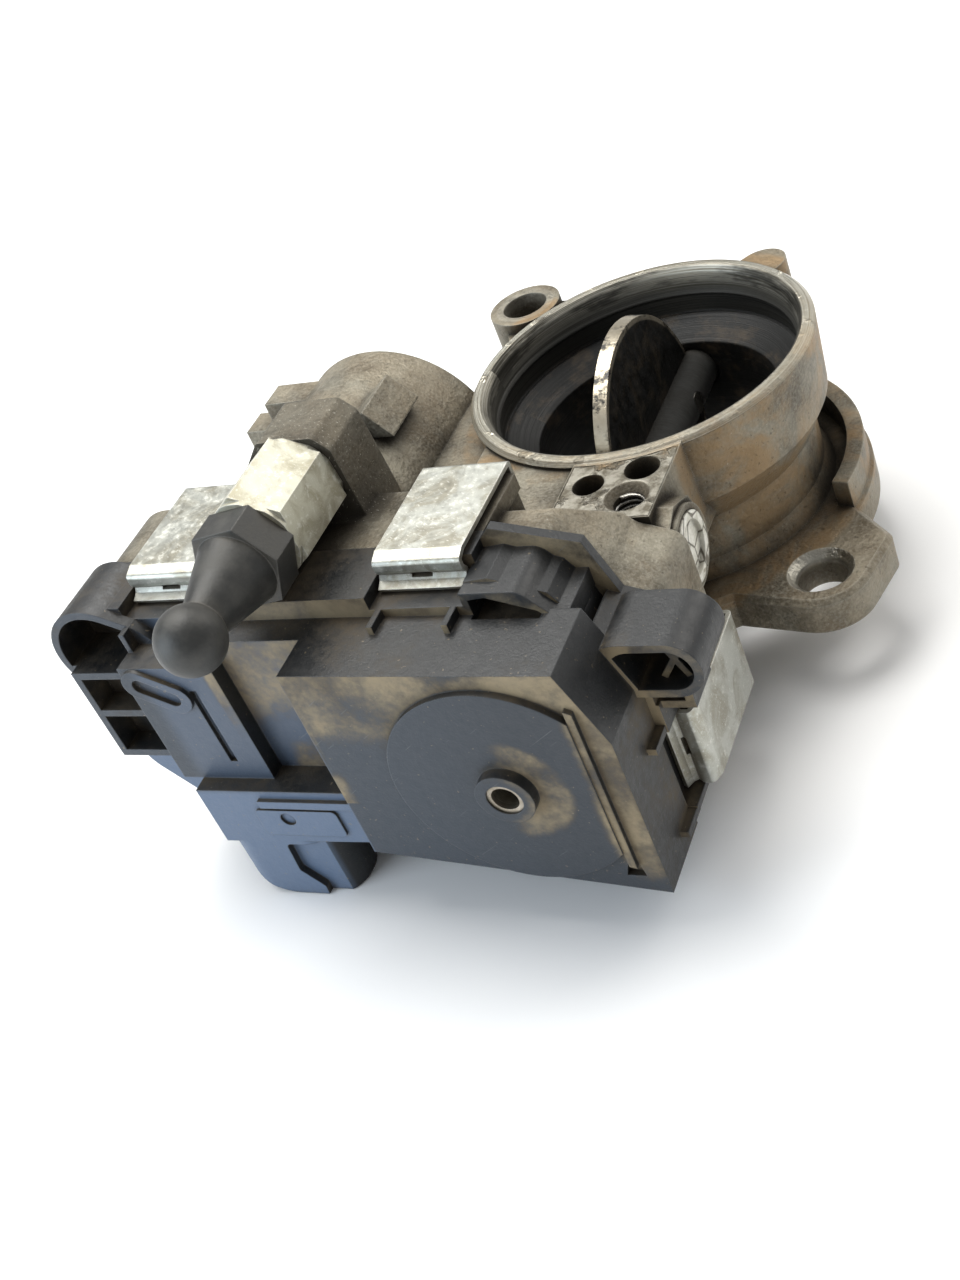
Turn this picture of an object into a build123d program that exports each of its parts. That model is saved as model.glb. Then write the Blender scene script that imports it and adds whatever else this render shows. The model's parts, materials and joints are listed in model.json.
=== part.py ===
from build123d import *
from math import atan2, cos, degrees, pi, radians, sin, sqrt, tan
import os

# Motorised throttle body: a cast housing with a flanged bore, a plate on a cross shaft, and a
# two-step gear drive with its motor beside the bore, under a clipped-on moulded cover.
#
# Frame: millimetres, origin on the bore axis in the mounting flange's face, +Z up the bore to the
# inlet ring, +X away from the motor, +Y to the back, the gear cover on the -Y side.
# Heights below are drawn from a datum under the flange, and every node is lowered to the face at the end.
# At rest the plate stands on its open stop; it closes by turning about +Y.

# ---------------------------------------------------------------- driving dimensions

# bore, inlet ring and flange
bore_radius = 22.0
flange_face = 3.5
body_height = 40.5
shaft_height = 22.5
ring_outer_radius = 31.0
ring_band_height = 13.5
ring_lip_radius = 28.0
ring_recess_depth = 9.0
ring_cone_depth = 3.4
ring_shoulder_radius = 26.8
neck_radius = 26.5
flange_thickness = 6.5
flange_disc_radius = 34.5
bolt_circle_radius = 38.9
bolt_hole_radius = 4.35
bolt_hole_chamfer = 1.3
bolt_ear_radius = 8.6
ear_corner_radius = 2.8
ear_corner_x = 38.4
ear_corner_y = -16.0
bolt_angle = -37.7
column_radius = 7.0

# throttle plate and shaft
shaft_radius = 4.0
plate_thickness = 2.5
plate_edge_gap = 0.12
plate_rest_tilt = 3.0
plate_travel = 84.0
shaft_flat_depth = 3.25
plate_screw_radius = 2.0
plate_screw_head_radius = 3.6
plate_screw_head_height = 1.9
plate_screw_spacing = 20.0
running_clearance = 0.04
gap = 0.3

# bearings and seals of the shaft
bearing_outer_radius = 8.0
bearing_width = 5.5
seal_width = 3.0
front_seal_start = 25.2
rear_bearing_outer_radius = 6.5
rear_bearing_width = 6.0
rear_cap_thickness = 1.6
rear_boss_length = 11.0
shaft_boss_radius = 12.2

# return spring
spring_wire_radius = 0.8
spring_coil_radius = 8.2
spring_pitch = 2.0
spring_turns = 6
spring_chamber_radius = 10.0

# gear train
gear_module = 1.0
pinion_teeth = 12
idler_large_teeth = 44
idler_small_teeth = 14
sector_teeth = 44
tooth_addendum = 0.75
tooth_dedendum = 1.1
tooth_backlash = 0.16
pressure_angle = 20.0
sector_width = 5.5
drive_flats = 5.8
magnet_outer_radius = 8.2
magnet_rim = 1.3
idler_large_width = 4.6
pinion_width = 6.5
idler_pin_radius = 3.0

# gear tray and cover, as distances along -Y from the bore axis
tray_back = 46.0
tray_floor = 50.0
seam = 60.0
rim_front = 72.0
strip_front = 77.0
left_front = 80.0
block_front = 83.0
panel_front = 85.0
disc_front = 86.2
boss_front = 88.2
cover_wall = 2.0
rim_wall = 2.8
tray_chamfer = 7.0

# outline of the rim, seen from the front
rim_left = -81.0
rim_right = 20.5
rim_top = 48.5
rim_bottom = -3.5
rim_corner = 9.0
shoulder_start = 5.5
shoulder_corner = 3.0
shoulder_x = 13.5
shoulder_height = 39.5
shoulder_right_height = 37.0

lower_left = (rim_left, 14.0)
lower_left_foot = (-66.0, rim_bottom)

# raised body of the cover
panel_left = -31.0
panel_right = 18.8
panel_shoulder_x = 13.9
panel_shoulder_height = 31.0
panel_top = 45.0
panel_bottom_left = 6.0
panel_bottom_right = -0.6
hood_front = 69.5
hood_rim_width = 1.7
hood_rim_points = [(-4.4, 44.0), (-4.4, 49.4), (-1.7, 52.2), (12.2, 48.6), (16.4, 36.0), (12.0, 36.0)]
hood_roof_points = [
    (-4.4, 44.0),
    (-4.4, 48.6),
    (0.0, 49.2),
    (8.6, 46.0),
    (11.6, 41.5),
    (13.0, 36.0),
    (8.0, 36.0),
]
hood_opening_points = [(-2.9, 43.4), (-2.9, 47.2), (0.0, 47.6), (7.6, 44.8), (9.0, 43.4)]
front_of_lugs = 74.0
right_lug_x = 25.2
right_lug_height = 34.4
left_lug_floor = 65.5
strip_left = -47.5
edge_strip_low = 18.5
left_block_left = -66.0
block_left = -62.0
step_height = 17.5
disc_radius = 19.3
ridge_x = 13.9
boss_radius = 4.75
bushing_radius = 2.95
bushing_hole_radius = 2.2

# connector shroud under the lower left block
connector_left = -63.0
connector_right = -41.0
connector_low = -8.0
connector_back = 71.0
connector_wall = 2.2
latch_recess_depth = 1.3
socket_floor = 4.2
blade_length = 13.0

# motor
motor_can_radius = 18.0
motor_can_wall = 1.6
motor_rear = -3.0
barrel_clearance = 0.2
barrel_wall = 2.8
barrel_rear = -7.0
motor_shaft_radius = 1.6
armature_air_gap = 1.4
magnet_thickness = 4.0
motor_plate_thickness = 1.8

# ball stud and its spacer
stud_x = -37.8
stud_height = 56.7
post_half_width = 8.2
post_rise = 7.2
stud_post_front = 51.5
stud_post_thickness = 11.0
spacer_flats = 15.0
spacer_turn = -23.2
spacer_length = 16.5
stud_hex_flats = 14.0
stud_hex_turn = 10.0
stud_hex_length = 6.0
ball_radius = 5.5
ball_distance = 89.5
stud_thread_radius = 4.0

# clips
clip_width = 15.0
clip_thickness = 0.8
clip_lift = 0.35
clip_raise = 2.0
side_clip_raise = 1.0
clip_reach = 66.5
clip_seat = 65.4
clip_lip_drop = 3.7
clip_pocket_depth = 4.3
clip_places = [
    # middle of the clip along its rim edge, and its outward direction in degrees
    (-59.0, rim_top + clip_raise, 90),
    (-12.0, rim_top + clip_raise, 90),
    (rim_right + side_clip_raise, 12.3, 0),
    (-28.0, rim_bottom - side_clip_raise, -90),
    (-2.0, rim_bottom - side_clip_raise, -90),
]

# pad beside the ring with its three holes, and the plugged passage
pad_right = 15.5
pad_front = 45.6
threaded_hole_radius = 2.6
threaded_hole_x = 10.1
threaded_hole_y = -40.0
threaded_hole_chamfer = 1.5
plain_hole_radius = 2.7
dowel_hole_radius = 3.0
pad_hole_depth = 6.5
threaded_hole_depth = 9.5
plain_hole_x = 2.4
plain_hole_y = -36.5
dowel_hole_x = 10.6
dowel_hole_y = -32.9
passage_y = -42.5
passage_height = 31.0
passage_boss_radius = 8.3
passage_plug_radius = 6.0
passage_end = 19.2

# ---------------------------------------------------------------- derived places

idler_x = -gear_module * (sector_teeth + idler_small_teeth) / 2
motor_x = idler_x - gear_module * (idler_large_teeth + pinion_teeth) / 2
barrel_radius = motor_can_radius + barrel_clearance + barrel_wall
armature_radius = motor_can_radius - motor_can_wall - magnet_thickness - armature_air_gap
gear_z = shaft_height
flange_top = flange_face + flange_thickness
sector_start = tray_floor + 1.2
large_start = sector_start + sector_width + 1.3
pinion_start = large_start - 1.2
pin_end = rim_front + 0.8
spring_floor = front_seal_start + seal_width + bearing_width + 2.0
rear_boss_end = neck_radius + rear_boss_length
rear_seat = -(bore_radius + 4.2)
shaft_rear_end = rear_boss_end - rear_cap_thickness - 1.0
shaft_front_end = large_start + idler_large_width + 3.2

os.makedirs("parts", exist_ok=True)


def front_plane(distance, x=0.0, z=0.0):
    """A sketch plane facing the front: local x is +X, local y is +Z, and it extrudes towards -Y."""
    return Plane(origin=(x, -distance, z), x_dir=(1, 0, 0), z_dir=(0, -1, 0))


def rod(radius, start, end, x=0.0, z=0.0):
    """A cylinder along Y between two distances in front of the bore axis."""
    return extrude(front_plane(start, x, z) * Circle(radius), end - start)


def tube(outer, inner, start, end, x=0.0, z=0.0):
    """A ring along Y between two distances in front of the bore axis."""
    ring = front_plane(start, x, z) * (Circle(outer) - Circle(inner))
    return extrude(ring, end - start)


def upright(radius, low, high, x=0.0, y=0.0):
    """A cylinder along Z."""
    return Pos(x, y, low) * extrude(Circle(radius), high - low)


def block(x0, x1, front, back, z0, z1):
    """A box from its X range, its front and back distances along -Y, and its Z range."""
    low = Vector(x0, -front, z0)
    size = Vector(x1 - x0, front - back, z1 - z0)
    return Pos(low + size * 0.5) * Box(size.X, size.Y, size.Z)


def rounded_face(points, radius):
    """A polygon with the same fillet radius on every corner."""
    face = make_face(Polyline(*points, close=True))
    return fillet(face.vertices(), radius)


def hull_of(*circles):
    """The shape of a belt round circles given as (x, y, radius)."""
    edges = []
    for x, y, radius in circles:
        edges += (Pos(x, y) * Circle(radius)).edges()
    return make_hull(edges)


def save(name, shape):
    """Write one node, lowered so that the mounting face is at zero."""
    lowered = [Pos(0, 0, -flange_face) * solid for solid in shape.solids()]
    node = lowered[0] if len(lowered) == 1 else Compound(children=lowered)
    export_step(node, f"parts/{name}.step")


def hexagon(flats, turn=0.0):
    """A hexagon by its width across flats."""
    return Rot(0, 0, turn) * RegularPolygon(flats / 2, 6, major_radius=False)


def tooth_outline(teeth, backlash=tooth_backlash):
    """One involute tooth about +X: points from its lower root to its upper root, and the root radius."""
    pitch = gear_module * teeth / 2
    base = pitch * cos(radians(pressure_angle))
    tip = pitch + gear_module * tooth_addendum
    root = pitch - gear_module * tooth_dedendum
    involute = tan(radians(pressure_angle)) - radians(pressure_angle)
    half = (pi * gear_module / 2 - backlash) / (2 * pitch) + involute
    upper = []
    flank_steps = 4
    start = max(base, root)
    for step in range(flank_steps + 1):
        radius = start + (tip - start) * step / flank_steps
        ratio = sqrt(max(radius * radius / (base * base) - 1, 0))
        angle = half - (ratio - atan2(ratio, 1))
        upper.append((radius, angle))
    if root < start:
        upper.insert(0, (root, upper[0][1]))
    return upper, root


def gear_face(teeth, phase, first=0, count=None):
    """A gear's face: teeth numbered round from the phase angle, all of them or count of them."""
    flank, root = tooth_outline(teeth)
    face = Circle(root + 0.05)
    pitch_angle = 360 / teeth
    for number in range(first, first + (count or teeth)):
        centre = phase + number * pitch_angle
        lower = [Vector(r, 0).rotate(Axis.Z, centre - degrees(a)) for r, a in flank]
        upper = [Vector(r, 0).rotate(Axis.Z, centre + degrees(a)) for r, a in flank]
        inner = Vector(root - 0.4, 0)
        ends = [inner.rotate(Axis.Z, centre - degrees(flank[0][1]))]
        others = [inner.rotate(Axis.Z, centre + degrees(flank[0][1]))]
        face += make_face(Polyline(*(ends + lower + upper[::-1] + others), close=True))
    return face


# ---------------------------------------------------------------- outlines of tray and cover


def rim_outline(inset=0.0):
    """The rim's outline: a rounded box with its lower left and upper right corners cut off."""
    face = make_face(
        Polyline(
            (rim_left, rim_top),
            lower_left,
            lower_left_foot,
            (rim_right, rim_bottom),
            (rim_right, shoulder_right_height),
            (shoulder_x, shoulder_height),
            (shoulder_start, rim_top),
            close=True,
        )
    )
    large = [v for v in face.vertices() if v.X < shoulder_start - 1 or v.Y < shoulder_right_height - 1]
    face = fillet(large, rim_corner)
    small = [v for v in face.vertices() if v.X > shoulder_start - 1 and v.Y > shoulder_right_height - 1]
    face = fillet(small, shoulder_corner)
    return offset(face, -inset) if inset else face


def panel_outline(inset=0.0):
    """The raised panel over the throttle shaft: slanted lower edge and cut upper right corner."""
    face = make_face(
        Polyline(
            (panel_left, panel_top),
            (panel_left, panel_bottom_left),
            (panel_right, panel_bottom_right),
            (panel_right, panel_shoulder_height),
            (panel_shoulder_x, panel_top - 0.8),
            close=True,
        )
    )
    return offset(face, -inset, kind=Kind.INTERSECTION) if inset else face


# ---------------------------------------------------------------- housing

def bore_body():
    """The turned body: neck, band under the ring and its lead-in."""
    band_low = body_height - ring_band_height
    outline = make_face(
        Polyline(
            (0, flange_face),
            (neck_radius + 1.5, flange_face),
            (neck_radius + 1.5, flange_top),
            (neck_radius, flange_top + 3),
            (neck_radius, band_low - 6),
            (ring_outer_radius - 0.8, band_low),
            (ring_outer_radius, body_height - 0.8),
            (ring_outer_radius - 0.8, body_height),
            (0, body_height),
            close=True,
        )
    )
    return revolve(Plane.XZ * outline, Axis.Z)


def bore_cut():
    """The air passage with the stepped inlet."""
    shoulder = body_height - ring_recess_depth
    cone_end = shoulder - ring_cone_depth
    outline = make_face(
        Polyline(
            (0, flange_face - 1),
            (bore_radius, flange_face - 1),
            (bore_radius, cone_end),
            (ring_shoulder_radius, shoulder),
            (ring_lip_radius - 0.6, shoulder),
            (ring_lip_radius - 0.6, body_height - 5.4),
            (ring_lip_radius - 1.1, body_height - 5.0),
            (ring_lip_radius - 0.6, body_height - 4.4),
            (ring_lip_radius, body_height - 1.0),
            (ring_lip_radius + 0.7, body_height),
            (ring_lip_radius + 0.7, body_height + 1),
            (0, body_height + 1),
            close=True,
        )
    )
    return revolve(Plane.XZ * outline, Axis.Z)


def bolt_places():
    """The two mounting bolts, opposite each other on the bolt circle."""
    return [
        Vector(bolt_circle_radius, 0).rotate(Axis.Z, bolt_angle + 180 * side)
        for side in range(2)
    ]


def flange():
    """The mounting flange: a disc with an ear at each bolt."""
    face = Circle(flange_disc_radius)
    for place in bolt_places():
        face += hull_of((0, 0, neck_radius), (place.X, place.Y, bolt_ear_radius))
    ear = bolt_places()[0]
    corner = (ear_corner_x, ear_corner_y, ear_corner_radius)
    face += hull_of((ear.X, ear.Y, bolt_ear_radius), corner, (0, 0, 20.0))
    plate = Pos(0, 0, flange_face) * extrude(face, flange_thickness)
    return chamfer(plate.faces().sort_by(Axis.Z)[-1].edges(), 1.0)


def flange_lip():
    """The raised bead round the flange on the side away from the motor."""
    ring = Circle(flange_disc_radius - 0.6) - Circle(flange_disc_radius - 3.6)
    wedge = make_face(
        Polyline((0, 0), (60, -13), (60, 30), (34, 45), close=True)
    )
    return Pos(0, 0, flange_top - 1) * extrude(ring & wedge, 6)


def tray():
    """The open tray that holds the gears, with a root ring round the motor barrel."""
    solid = extrude(front_plane(tray_back) * rim_outline(), seam - tray_back)
    cavity = extrude(
        front_plane(tray_floor) * rim_outline(rim_wall), seam - tray_floor + 1
    )
    shoulder = make_face(
        Polyline(
            (-tray_back, rim_top),
            (-tray_back, rim_top - tray_chamfer),
            (-tray_back - tray_chamfer, rim_top),
            close=True,
        )
    )
    plane = Plane(origin=(-4.2, 0, 0), x_dir=(0, 1, 0), z_dir=(1, 0, 0))
    return solid - cavity - extrude(plane * shoulder, 30.0)


def housing_solid():
    body = bore_body() + flange() + flange_lip()
    # column for the long bolt, from the flange to the ring
    column = bolt_places()[1]
    body += upright(column_radius, flange_face, body_height - 1.0, column.X, column.Y)
    web = hull_of((0, 0, neck_radius - 2), (column.X, column.Y, 4.0))
    body += Pos(0, 0, flange_face) * extrude(web, body_height - 3.0 - flange_face)
    # small lug at the back of the ring
    lug = hull_of((12.0, 24.0, 5.0), (15.2, 29.2, 4.4))
    body += Pos(0, 0, body_height - 13.0) * extrude(lug, 11.4)
    # pad in front of the ring, and the body of the shaft boss below it
    body += block(-22.0, pad_right, pad_front, 20.0, gear_z, body_height - 1.4)
    body += block(-2.0, pad_right, pad_front, 20.0, body_height - 6, body_height - 0.4)
    body += rod(shaft_boss_radius, 20.0, tray_floor - 0.5, 0, gear_z)
    # passage boss along X with a raised end face
    boss = Plane(origin=(-14.0, passage_y, passage_height), z_dir=(1, 0, 0))
    body += extrude(boss * RegularPolygon(passage_boss_radius, 8), passage_end + 14.0 - 0.8)
    body += extrude(boss * Circle(passage_boss_radius - 1.1), passage_end + 14.0)
    # motor barrel, its domed end and the root ring
    body += rod(barrel_radius, barrel_rear, tray_back + 1, motor_x, gear_z)
    body += rod(barrel_radius + 4.5, tray_back - 5.0, tray_back + 1, motor_x, gear_z)
    barrel_end = rod(barrel_radius - 4.0, barrel_rear - 2.0, barrel_rear, motor_x, gear_z)
    body += barrel_end
    # web between barrel and neck
    body += block(motor_x + 14.0, -12.0, tray_back, -4.0, gear_z - 7.0, gear_z + 9.0)
    # stepped rib on the outer side of the barrel
    for x0, x1, z0, z1 in (
        (-77.5, motor_x, gear_z, 40.5),
        (-84.8, motor_x - 8.0, gear_z - 4.0, 34.6),
    ):
        body += block(x0, x1, 3.0, -3.5, z0, z1)
    # wedge on the barrel's top
    wedge = make_face(Polyline((-6.0, 0), (6.5, 0), (2.0, 5.5), close=True))
    wedge_plane = front_plane(6.0, motor_x + 9.0, gear_z + barrel_radius - 3.0)
    body += extrude(wedge_plane * wedge, 12.0)
    body += tray()
    for place in clip_places:
        body += at_clip(place, clip_pad(tray_back, seam))
    # boss for the idler pin behind the tray floor
    body += rod(7.0, tray_back - 6.0, tray_back + 1, idler_x, gear_z)
    # rear shaft boss
    body += rod(rear_bearing_outer_radius + 4.0, -rear_boss_end, -20.0, 0, gear_z)
    # post of the ball stud, widening to its foot
    foot = rim_top - 9.0
    post = make_face(
        Polyline(
            (stud_x - post_half_width - 4.0, foot),
            (stud_x + post_half_width + 1.5, foot),
            (stud_x + post_half_width, stud_height + post_rise - 2.5),
            (stud_x + post_half_width - 2.5, stud_height + post_rise),
            (stud_x - post_half_width + 3.5, stud_height + post_rise),
            (stud_x - post_half_width, stud_height + post_rise - 4.0),
            close=True,
        )
    )
    post_back = stud_post_front - stud_post_thickness
    column_of_post = extrude(front_plane(post_back) * post, stud_post_thickness)
    body += fillet(column_of_post.edges().filter_by(Axis.Y).sort_by(Axis.Z)[2:], 1.2)
    body += block(stud_x - 13.0, stud_x + 12.0, tray_back + 1, post_back, 30.0, foot + 4.0)
    body += rod(7.6, stud_post_front - 1.0, stud_post_front, stud_x, stud_height)
    # cuts
    body -= bore_cut()
    for place in bolt_places():
        body -= upright(bolt_hole_radius, -1, body_height + 1, place.X, place.Y)
    ear = bolt_places()[0]
    rim = Pos(ear.X, ear.Y, flange_top - bolt_hole_chamfer)
    body -= rim * extrude(Circle(bolt_hole_radius), bolt_hole_chamfer + 0.01, taper=-45)
    body -= rod(motor_can_radius + barrel_clearance, motor_rear, tray_floor + 1, motor_x, gear_z)
    body -= rod(shaft_radius + 0.3, -(rear_boss_end + 1), tray_floor + 1, 0, gear_z)
    front_pocket = front_seal_start
    body -= rod(bearing_outer_radius, front_pocket, tray_floor + 1, 0, gear_z)
    body -= rod(spring_chamber_radius, spring_floor, tray_floor + 1, 0, gear_z)
    body -= rod(rear_bearing_outer_radius, -(rear_boss_end + 1), rear_seat, 0, gear_z)
    body -= rod(idler_pin_radius, tray_back - 4.0, tray_floor + 1, idler_x, gear_z)
    # motor front plate pocket and its screw holes
    body -= plate_pocket()
    for place in motor_screw_places():
        body -= rod(1.25, tray_back - 3.5, tray_floor + 1, place[0], place[1])
    # holes of the pad
    for x, y, radius, depth in pad_holes():
        body -= upright(radius, body_height - depth, body_height + 1, x, y)
    chamfered = Pos(threaded_hole_x, threaded_hole_y, body_height - threaded_hole_chamfer - 0.3)
    body -= chamfered * extrude(Circle(threaded_hole_radius), threaded_hole_chamfer, taper=-40)
    # plugged passage
    plug_seat = Plane(origin=(passage_end - 6.0, passage_y, passage_height), z_dir=(1, 0, 0))
    body -= extrude(plug_seat * Circle(passage_plug_radius), 7.0)
    # notches behind the rim for the clips' hooks
    for place in clip_places:
        notch = block(-clip_width / 2 - 0.6, clip_width / 2 + 0.6, tray_back, 43.4, -5.2, 8)
        body -= at_clip(place, notch)
    # threaded hole of the stud post, and room for the spacer over the rim
    body -= rod(stud_thread_radius, post_back + 1.0, stud_post_front + 1, stud_x, stud_height)
    return body - spacer_room()


def spacer_room():
    """Room for the spacer's lower corner, scooped from the top of the rim and of the cover."""
    radius = spacer_flats / sqrt(3) + 0.14
    return rod(radius, stud_post_front, stud_post_front + spacer_length + 1.0, stud_x, stud_height)


def pad_holes():
    """Plain, dowel and threaded holes of the pad, as x, y, radius and depth."""
    return [
        (plain_hole_x, plain_hole_y, plain_hole_radius, pad_hole_depth),
        (dowel_hole_x, dowel_hole_y, dowel_hole_radius, pad_hole_depth),
        (threaded_hole_x, threaded_hole_y, threaded_hole_radius, threaded_hole_depth),
    ]


def motor_screw_places():
    """The two screws of the motor's front plate, above and below its shaft."""
    return [(motor_x - 13.6, gear_z + 17.0), (motor_x + 13.6, gear_z - 17.0)]


def motor_plate_face(growth=0.0):
    """The motor's front plate: a disc with two screw ears."""
    face = Circle(motor_can_radius + 0.9 + growth)
    for x, z in motor_screw_places():
        face += hull_of((0, 0, 8.0), (x - motor_x, z - gear_z, 3.6 + growth))
    return face


def plate_pocket():
    """Room for the motor's front plate, sunk in the tray floor."""
    start = tray_floor - motor_plate_thickness
    return extrude(front_plane(start, motor_x, gear_z) * motor_plate_face(0.15), 3.0)


# ---------------------------------------------------------------- shaft, plate and bearings

def tilted(shape):
    """Turn a piece of the throttle from upright to its rest tilt, its top towards the motor."""
    pivot = Pos(0, 0, shaft_height)
    return pivot * Rot(0, -plate_rest_tilt, 0) * pivot.inverse() * shape


def screw_heights():
    """Distances of the two plate screws along the shaft."""
    return (-plate_screw_spacing / 2, plate_screw_spacing / 2)


def throttle_shaft():
    shaft = rod(shaft_radius, -shaft_rear_end, shaft_front_end, 0, shaft_height)
    flat = block(
        -shaft_radius - 1,
        -shaft_radius + shaft_flat_depth,
        bore_radius + 0.25,
        -bore_radius - 0.25,
        shaft_height - 5,
        shaft_height + 5,
    )
    shaft = shaft - flat
    for along in screw_heights():
        hole = Plane(origin=(-shaft_radius, along, shaft_height), z_dir=(1, 0, 0))
        shaft -= extrude(hole * Circle(plate_screw_radius), 2 * shaft_radius + 1)
    # two flats that drive the sector gear
    for side in (-1, 1):
        low = drive_flats / 2 if side > 0 else -shaft_radius - 1
        high = shaft_radius + 1 if side > 0 else -drive_flats / 2
        shaft -= block(low, high, shaft_front_end + 1, sector_start, 0, 2 * shaft_height)
    return tilted(shaft)


def throttle_plate():
    """Cut by the bore at its closed angle, so its edge is bevelled, and cleared along its swing."""
    offset_x = -shaft_radius + shaft_flat_depth
    closed_turn = plate_travel - plate_rest_tilt
    slab = block(
        offset_x - plate_thickness, offset_x, 40, -40, shaft_height - 40, shaft_height + 40
    )
    pivot = Pos(0, 0, shaft_height)
    plug = upright(bore_radius - plate_edge_gap, shaft_height - 40, shaft_height + 40)
    plate = slab
    for share in (1.0, 0.75, 0.5, 0.25, 0.0):
        swing = pivot * Rot(0, closed_turn * share, 0) * pivot.inverse()
        plate = plate & (swing.inverse() * plug)
    for along in screw_heights():
        hole = Plane(origin=(-20, along, shaft_height), z_dir=(1, 0, 0))
        plate -= extrude(hole * Circle(plate_screw_radius), 40)
    return tilted(plate)


def plate_screws():
    seat = -shaft_radius + shaft_flat_depth - plate_thickness
    screws = []
    for along in screw_heights():
        under = Plane(origin=(seat, along, shaft_height), z_dir=(-1, 0, 0))
        head = extrude(under * Circle(plate_screw_head_radius), plate_screw_head_height)
        head = fillet(head.faces().sort_by(Axis.X)[0].edges(), 0.9)
        slot = under.offset(plate_screw_head_height - 1.0)
        for turn in (0, 90):
            head -= extrude(slot * (Rot(0, 0, turn) * Rectangle(4.2, 0.9)), 2.0)
        back = Plane(origin=(seat, along, shaft_height), z_dir=(1, 0, 0))
        stem = extrude(back * Circle(plate_screw_radius), plate_thickness + 4.4)
        screws.append(tilted(head + stem))
    return Compound(children=screws)


def shaft_bearing(inner, outer, start, width, grooves):
    """A bearing on the shaft: its ring with a race groove in each face."""
    ring = tube(outer, inner, start, start + width, 0, shaft_height)
    if grooves:
        middle = (inner + outer) / 2
        for face in (start, start + width - 0.6):
            ring -= tube(middle + 0.9, middle - 0.9, face, face + 0.6, 0, shaft_height)
    return ring


def return_spring():
    """A torsion spring round the shaft, in its chamber behind the tray floor."""
    start = spring_floor + spring_wire_radius + gap
    helix = Helix(spring_pitch, spring_pitch * spring_turns, spring_coil_radius)
    path = front_plane(start, 0, shaft_height) * helix
    profile = Plane(origin=path @ 0, z_dir=path % 0) * Circle(spring_wire_radius)
    return sweep(profile, path)


def sector_gear():
    """Moulded sector on the shaft: a toothed arc, a hub and a carrier for the magnet."""
    first = -2
    count = 14
    phase = 180 + 180 / sector_teeth
    face = gear_face(sector_teeth, phase, first, count)
    start_angle = phase + (first - 0.5) * 360 / sector_teeth
    end_angle = phase + (first + count - 0.5) * 360 / sector_teeth
    middle = radians((start_angle + end_angle) / 2)
    rays = [(60, radians(start_angle)), (90, middle), (60, radians(end_angle))]
    corners = [(0, 0)] + [(reach * cos(turn), reach * sin(turn)) for reach, turn in rays]
    face = (face & make_face(Polyline(*corners, close=True))) + Circle(9.0)
    window = Pos(14.2 * cos(middle), 14.2 * sin(middle)) * Circle(2.6)
    for turn in (-30, 0, 30):
        face -= Rot(0, 0, turn) * window
    plane = front_plane(sector_start, 0, shaft_height)
    gear = extrude(plane * face, sector_width)
    gear += rod(shaft_radius + 1.0, sector_start + sector_width, shaft_front_end - 0.6, 0, shaft_height)
    gear += rod(magnet_outer_radius + magnet_rim, shaft_front_end - 2.6, shaft_front_end + 2.6, 0, shaft_height)
    gear -= rod(magnet_outer_radius, shaft_front_end - 0.6, shaft_front_end + 3, 0, shaft_height)
    bore = front_plane(sector_start - 1, 0, shaft_height)
    hole = Rot(0, 0, plate_rest_tilt) * (Circle(shaft_radius) & Rectangle(drive_flats, 20))
    gear -= extrude(bore * hole, shaft_front_end - sector_start + 2)
    return gear


def position_magnet():
    return tube(magnet_outer_radius, shaft_radius + 0.6, shaft_front_end - 0.6, shaft_front_end + 2.4, 0, shaft_height)


# ---------------------------------------------------------------- idler and motor

def idler_gear():
    small = gear_face(idler_small_teeth, 0)
    large = gear_face(idler_large_teeth, 180 + 180 / idler_large_teeth)
    middle = Circle(15.5) - Circle(8.5)
    start = sector_start - 0.5
    body = extrude(front_plane(start, idler_x, gear_z) * small, large_start - start)
    wheel = extrude(front_plane(large_start, idler_x, gear_z) * large, idler_large_width)
    for start in (large_start - 0.01, large_start + idler_large_width - 1.5):
        wheel -= extrude(front_plane(start, idler_x, gear_z) * middle, 1.51)
    body += wheel
    return body - rod(idler_pin_radius + running_clearance, 0, panel_front, idler_x, gear_z)


def idler_pin():
    pin = rod(idler_pin_radius, tray_back - 4.0, pin_end, idler_x, gear_z)
    return chamfer(pin.faces().sort_by(Axis.Y)[0].edges(), 0.5)


def motor_can():
    front = tray_floor - motor_plate_thickness
    can = rod(motor_can_radius, motor_rear + 1.2, front, motor_x, gear_z)
    can = fillet(can.faces().sort_by(Axis.Y)[-1].edges(), 2.0)
    floor = motor_rear + 1.2 + motor_can_wall
    can -= rod(motor_can_radius - motor_can_wall, floor, front + 1, motor_x, gear_z)
    can += rod(4.5, motor_rear + 1.0, motor_rear + 6.0, motor_x, gear_z)
    return can - rod(motor_shaft_radius + running_clearance, motor_rear, motor_rear + 9, motor_x, gear_z)


def motor_magnets():
    """Two arc magnets inside the can."""
    outer = motor_can_radius - motor_can_wall
    ring = tube(outer, outer - magnet_thickness, 8.0, 36.0, motor_x, gear_z)
    gap_slot = block(motor_x - 4, motor_x + 4, 40, 0, 0, 60)
    return ring - gap_slot


def motor_armature():
    """Stack of laminations with its slots and windings, on the motor shaft."""
    face = Circle(armature_radius)
    slots = 8
    for slot in range(slots):
        face -= Rot(0, 0, 360 / slots * slot) * Pos(armature_radius - 1.8, 0) * Rectangle(4.6, 1.6)
    stack = extrude(front_plane(10.0, motor_x, gear_z) * face, 22.0)
    winding = rod(armature_radius - 2.0, 6.5, 35.5, motor_x, gear_z)
    return (stack + winding) - rod(motor_shaft_radius, 0, 50, motor_x, gear_z)


def motor_commutator():
    return tube(4.2, motor_shaft_radius, 36.0, 42.0, motor_x, gear_z)


def motor_shaft():
    return rod(motor_shaft_radius, motor_rear + 2.0, pinion_start + pinion_width - 0.5, motor_x, gear_z)


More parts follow.
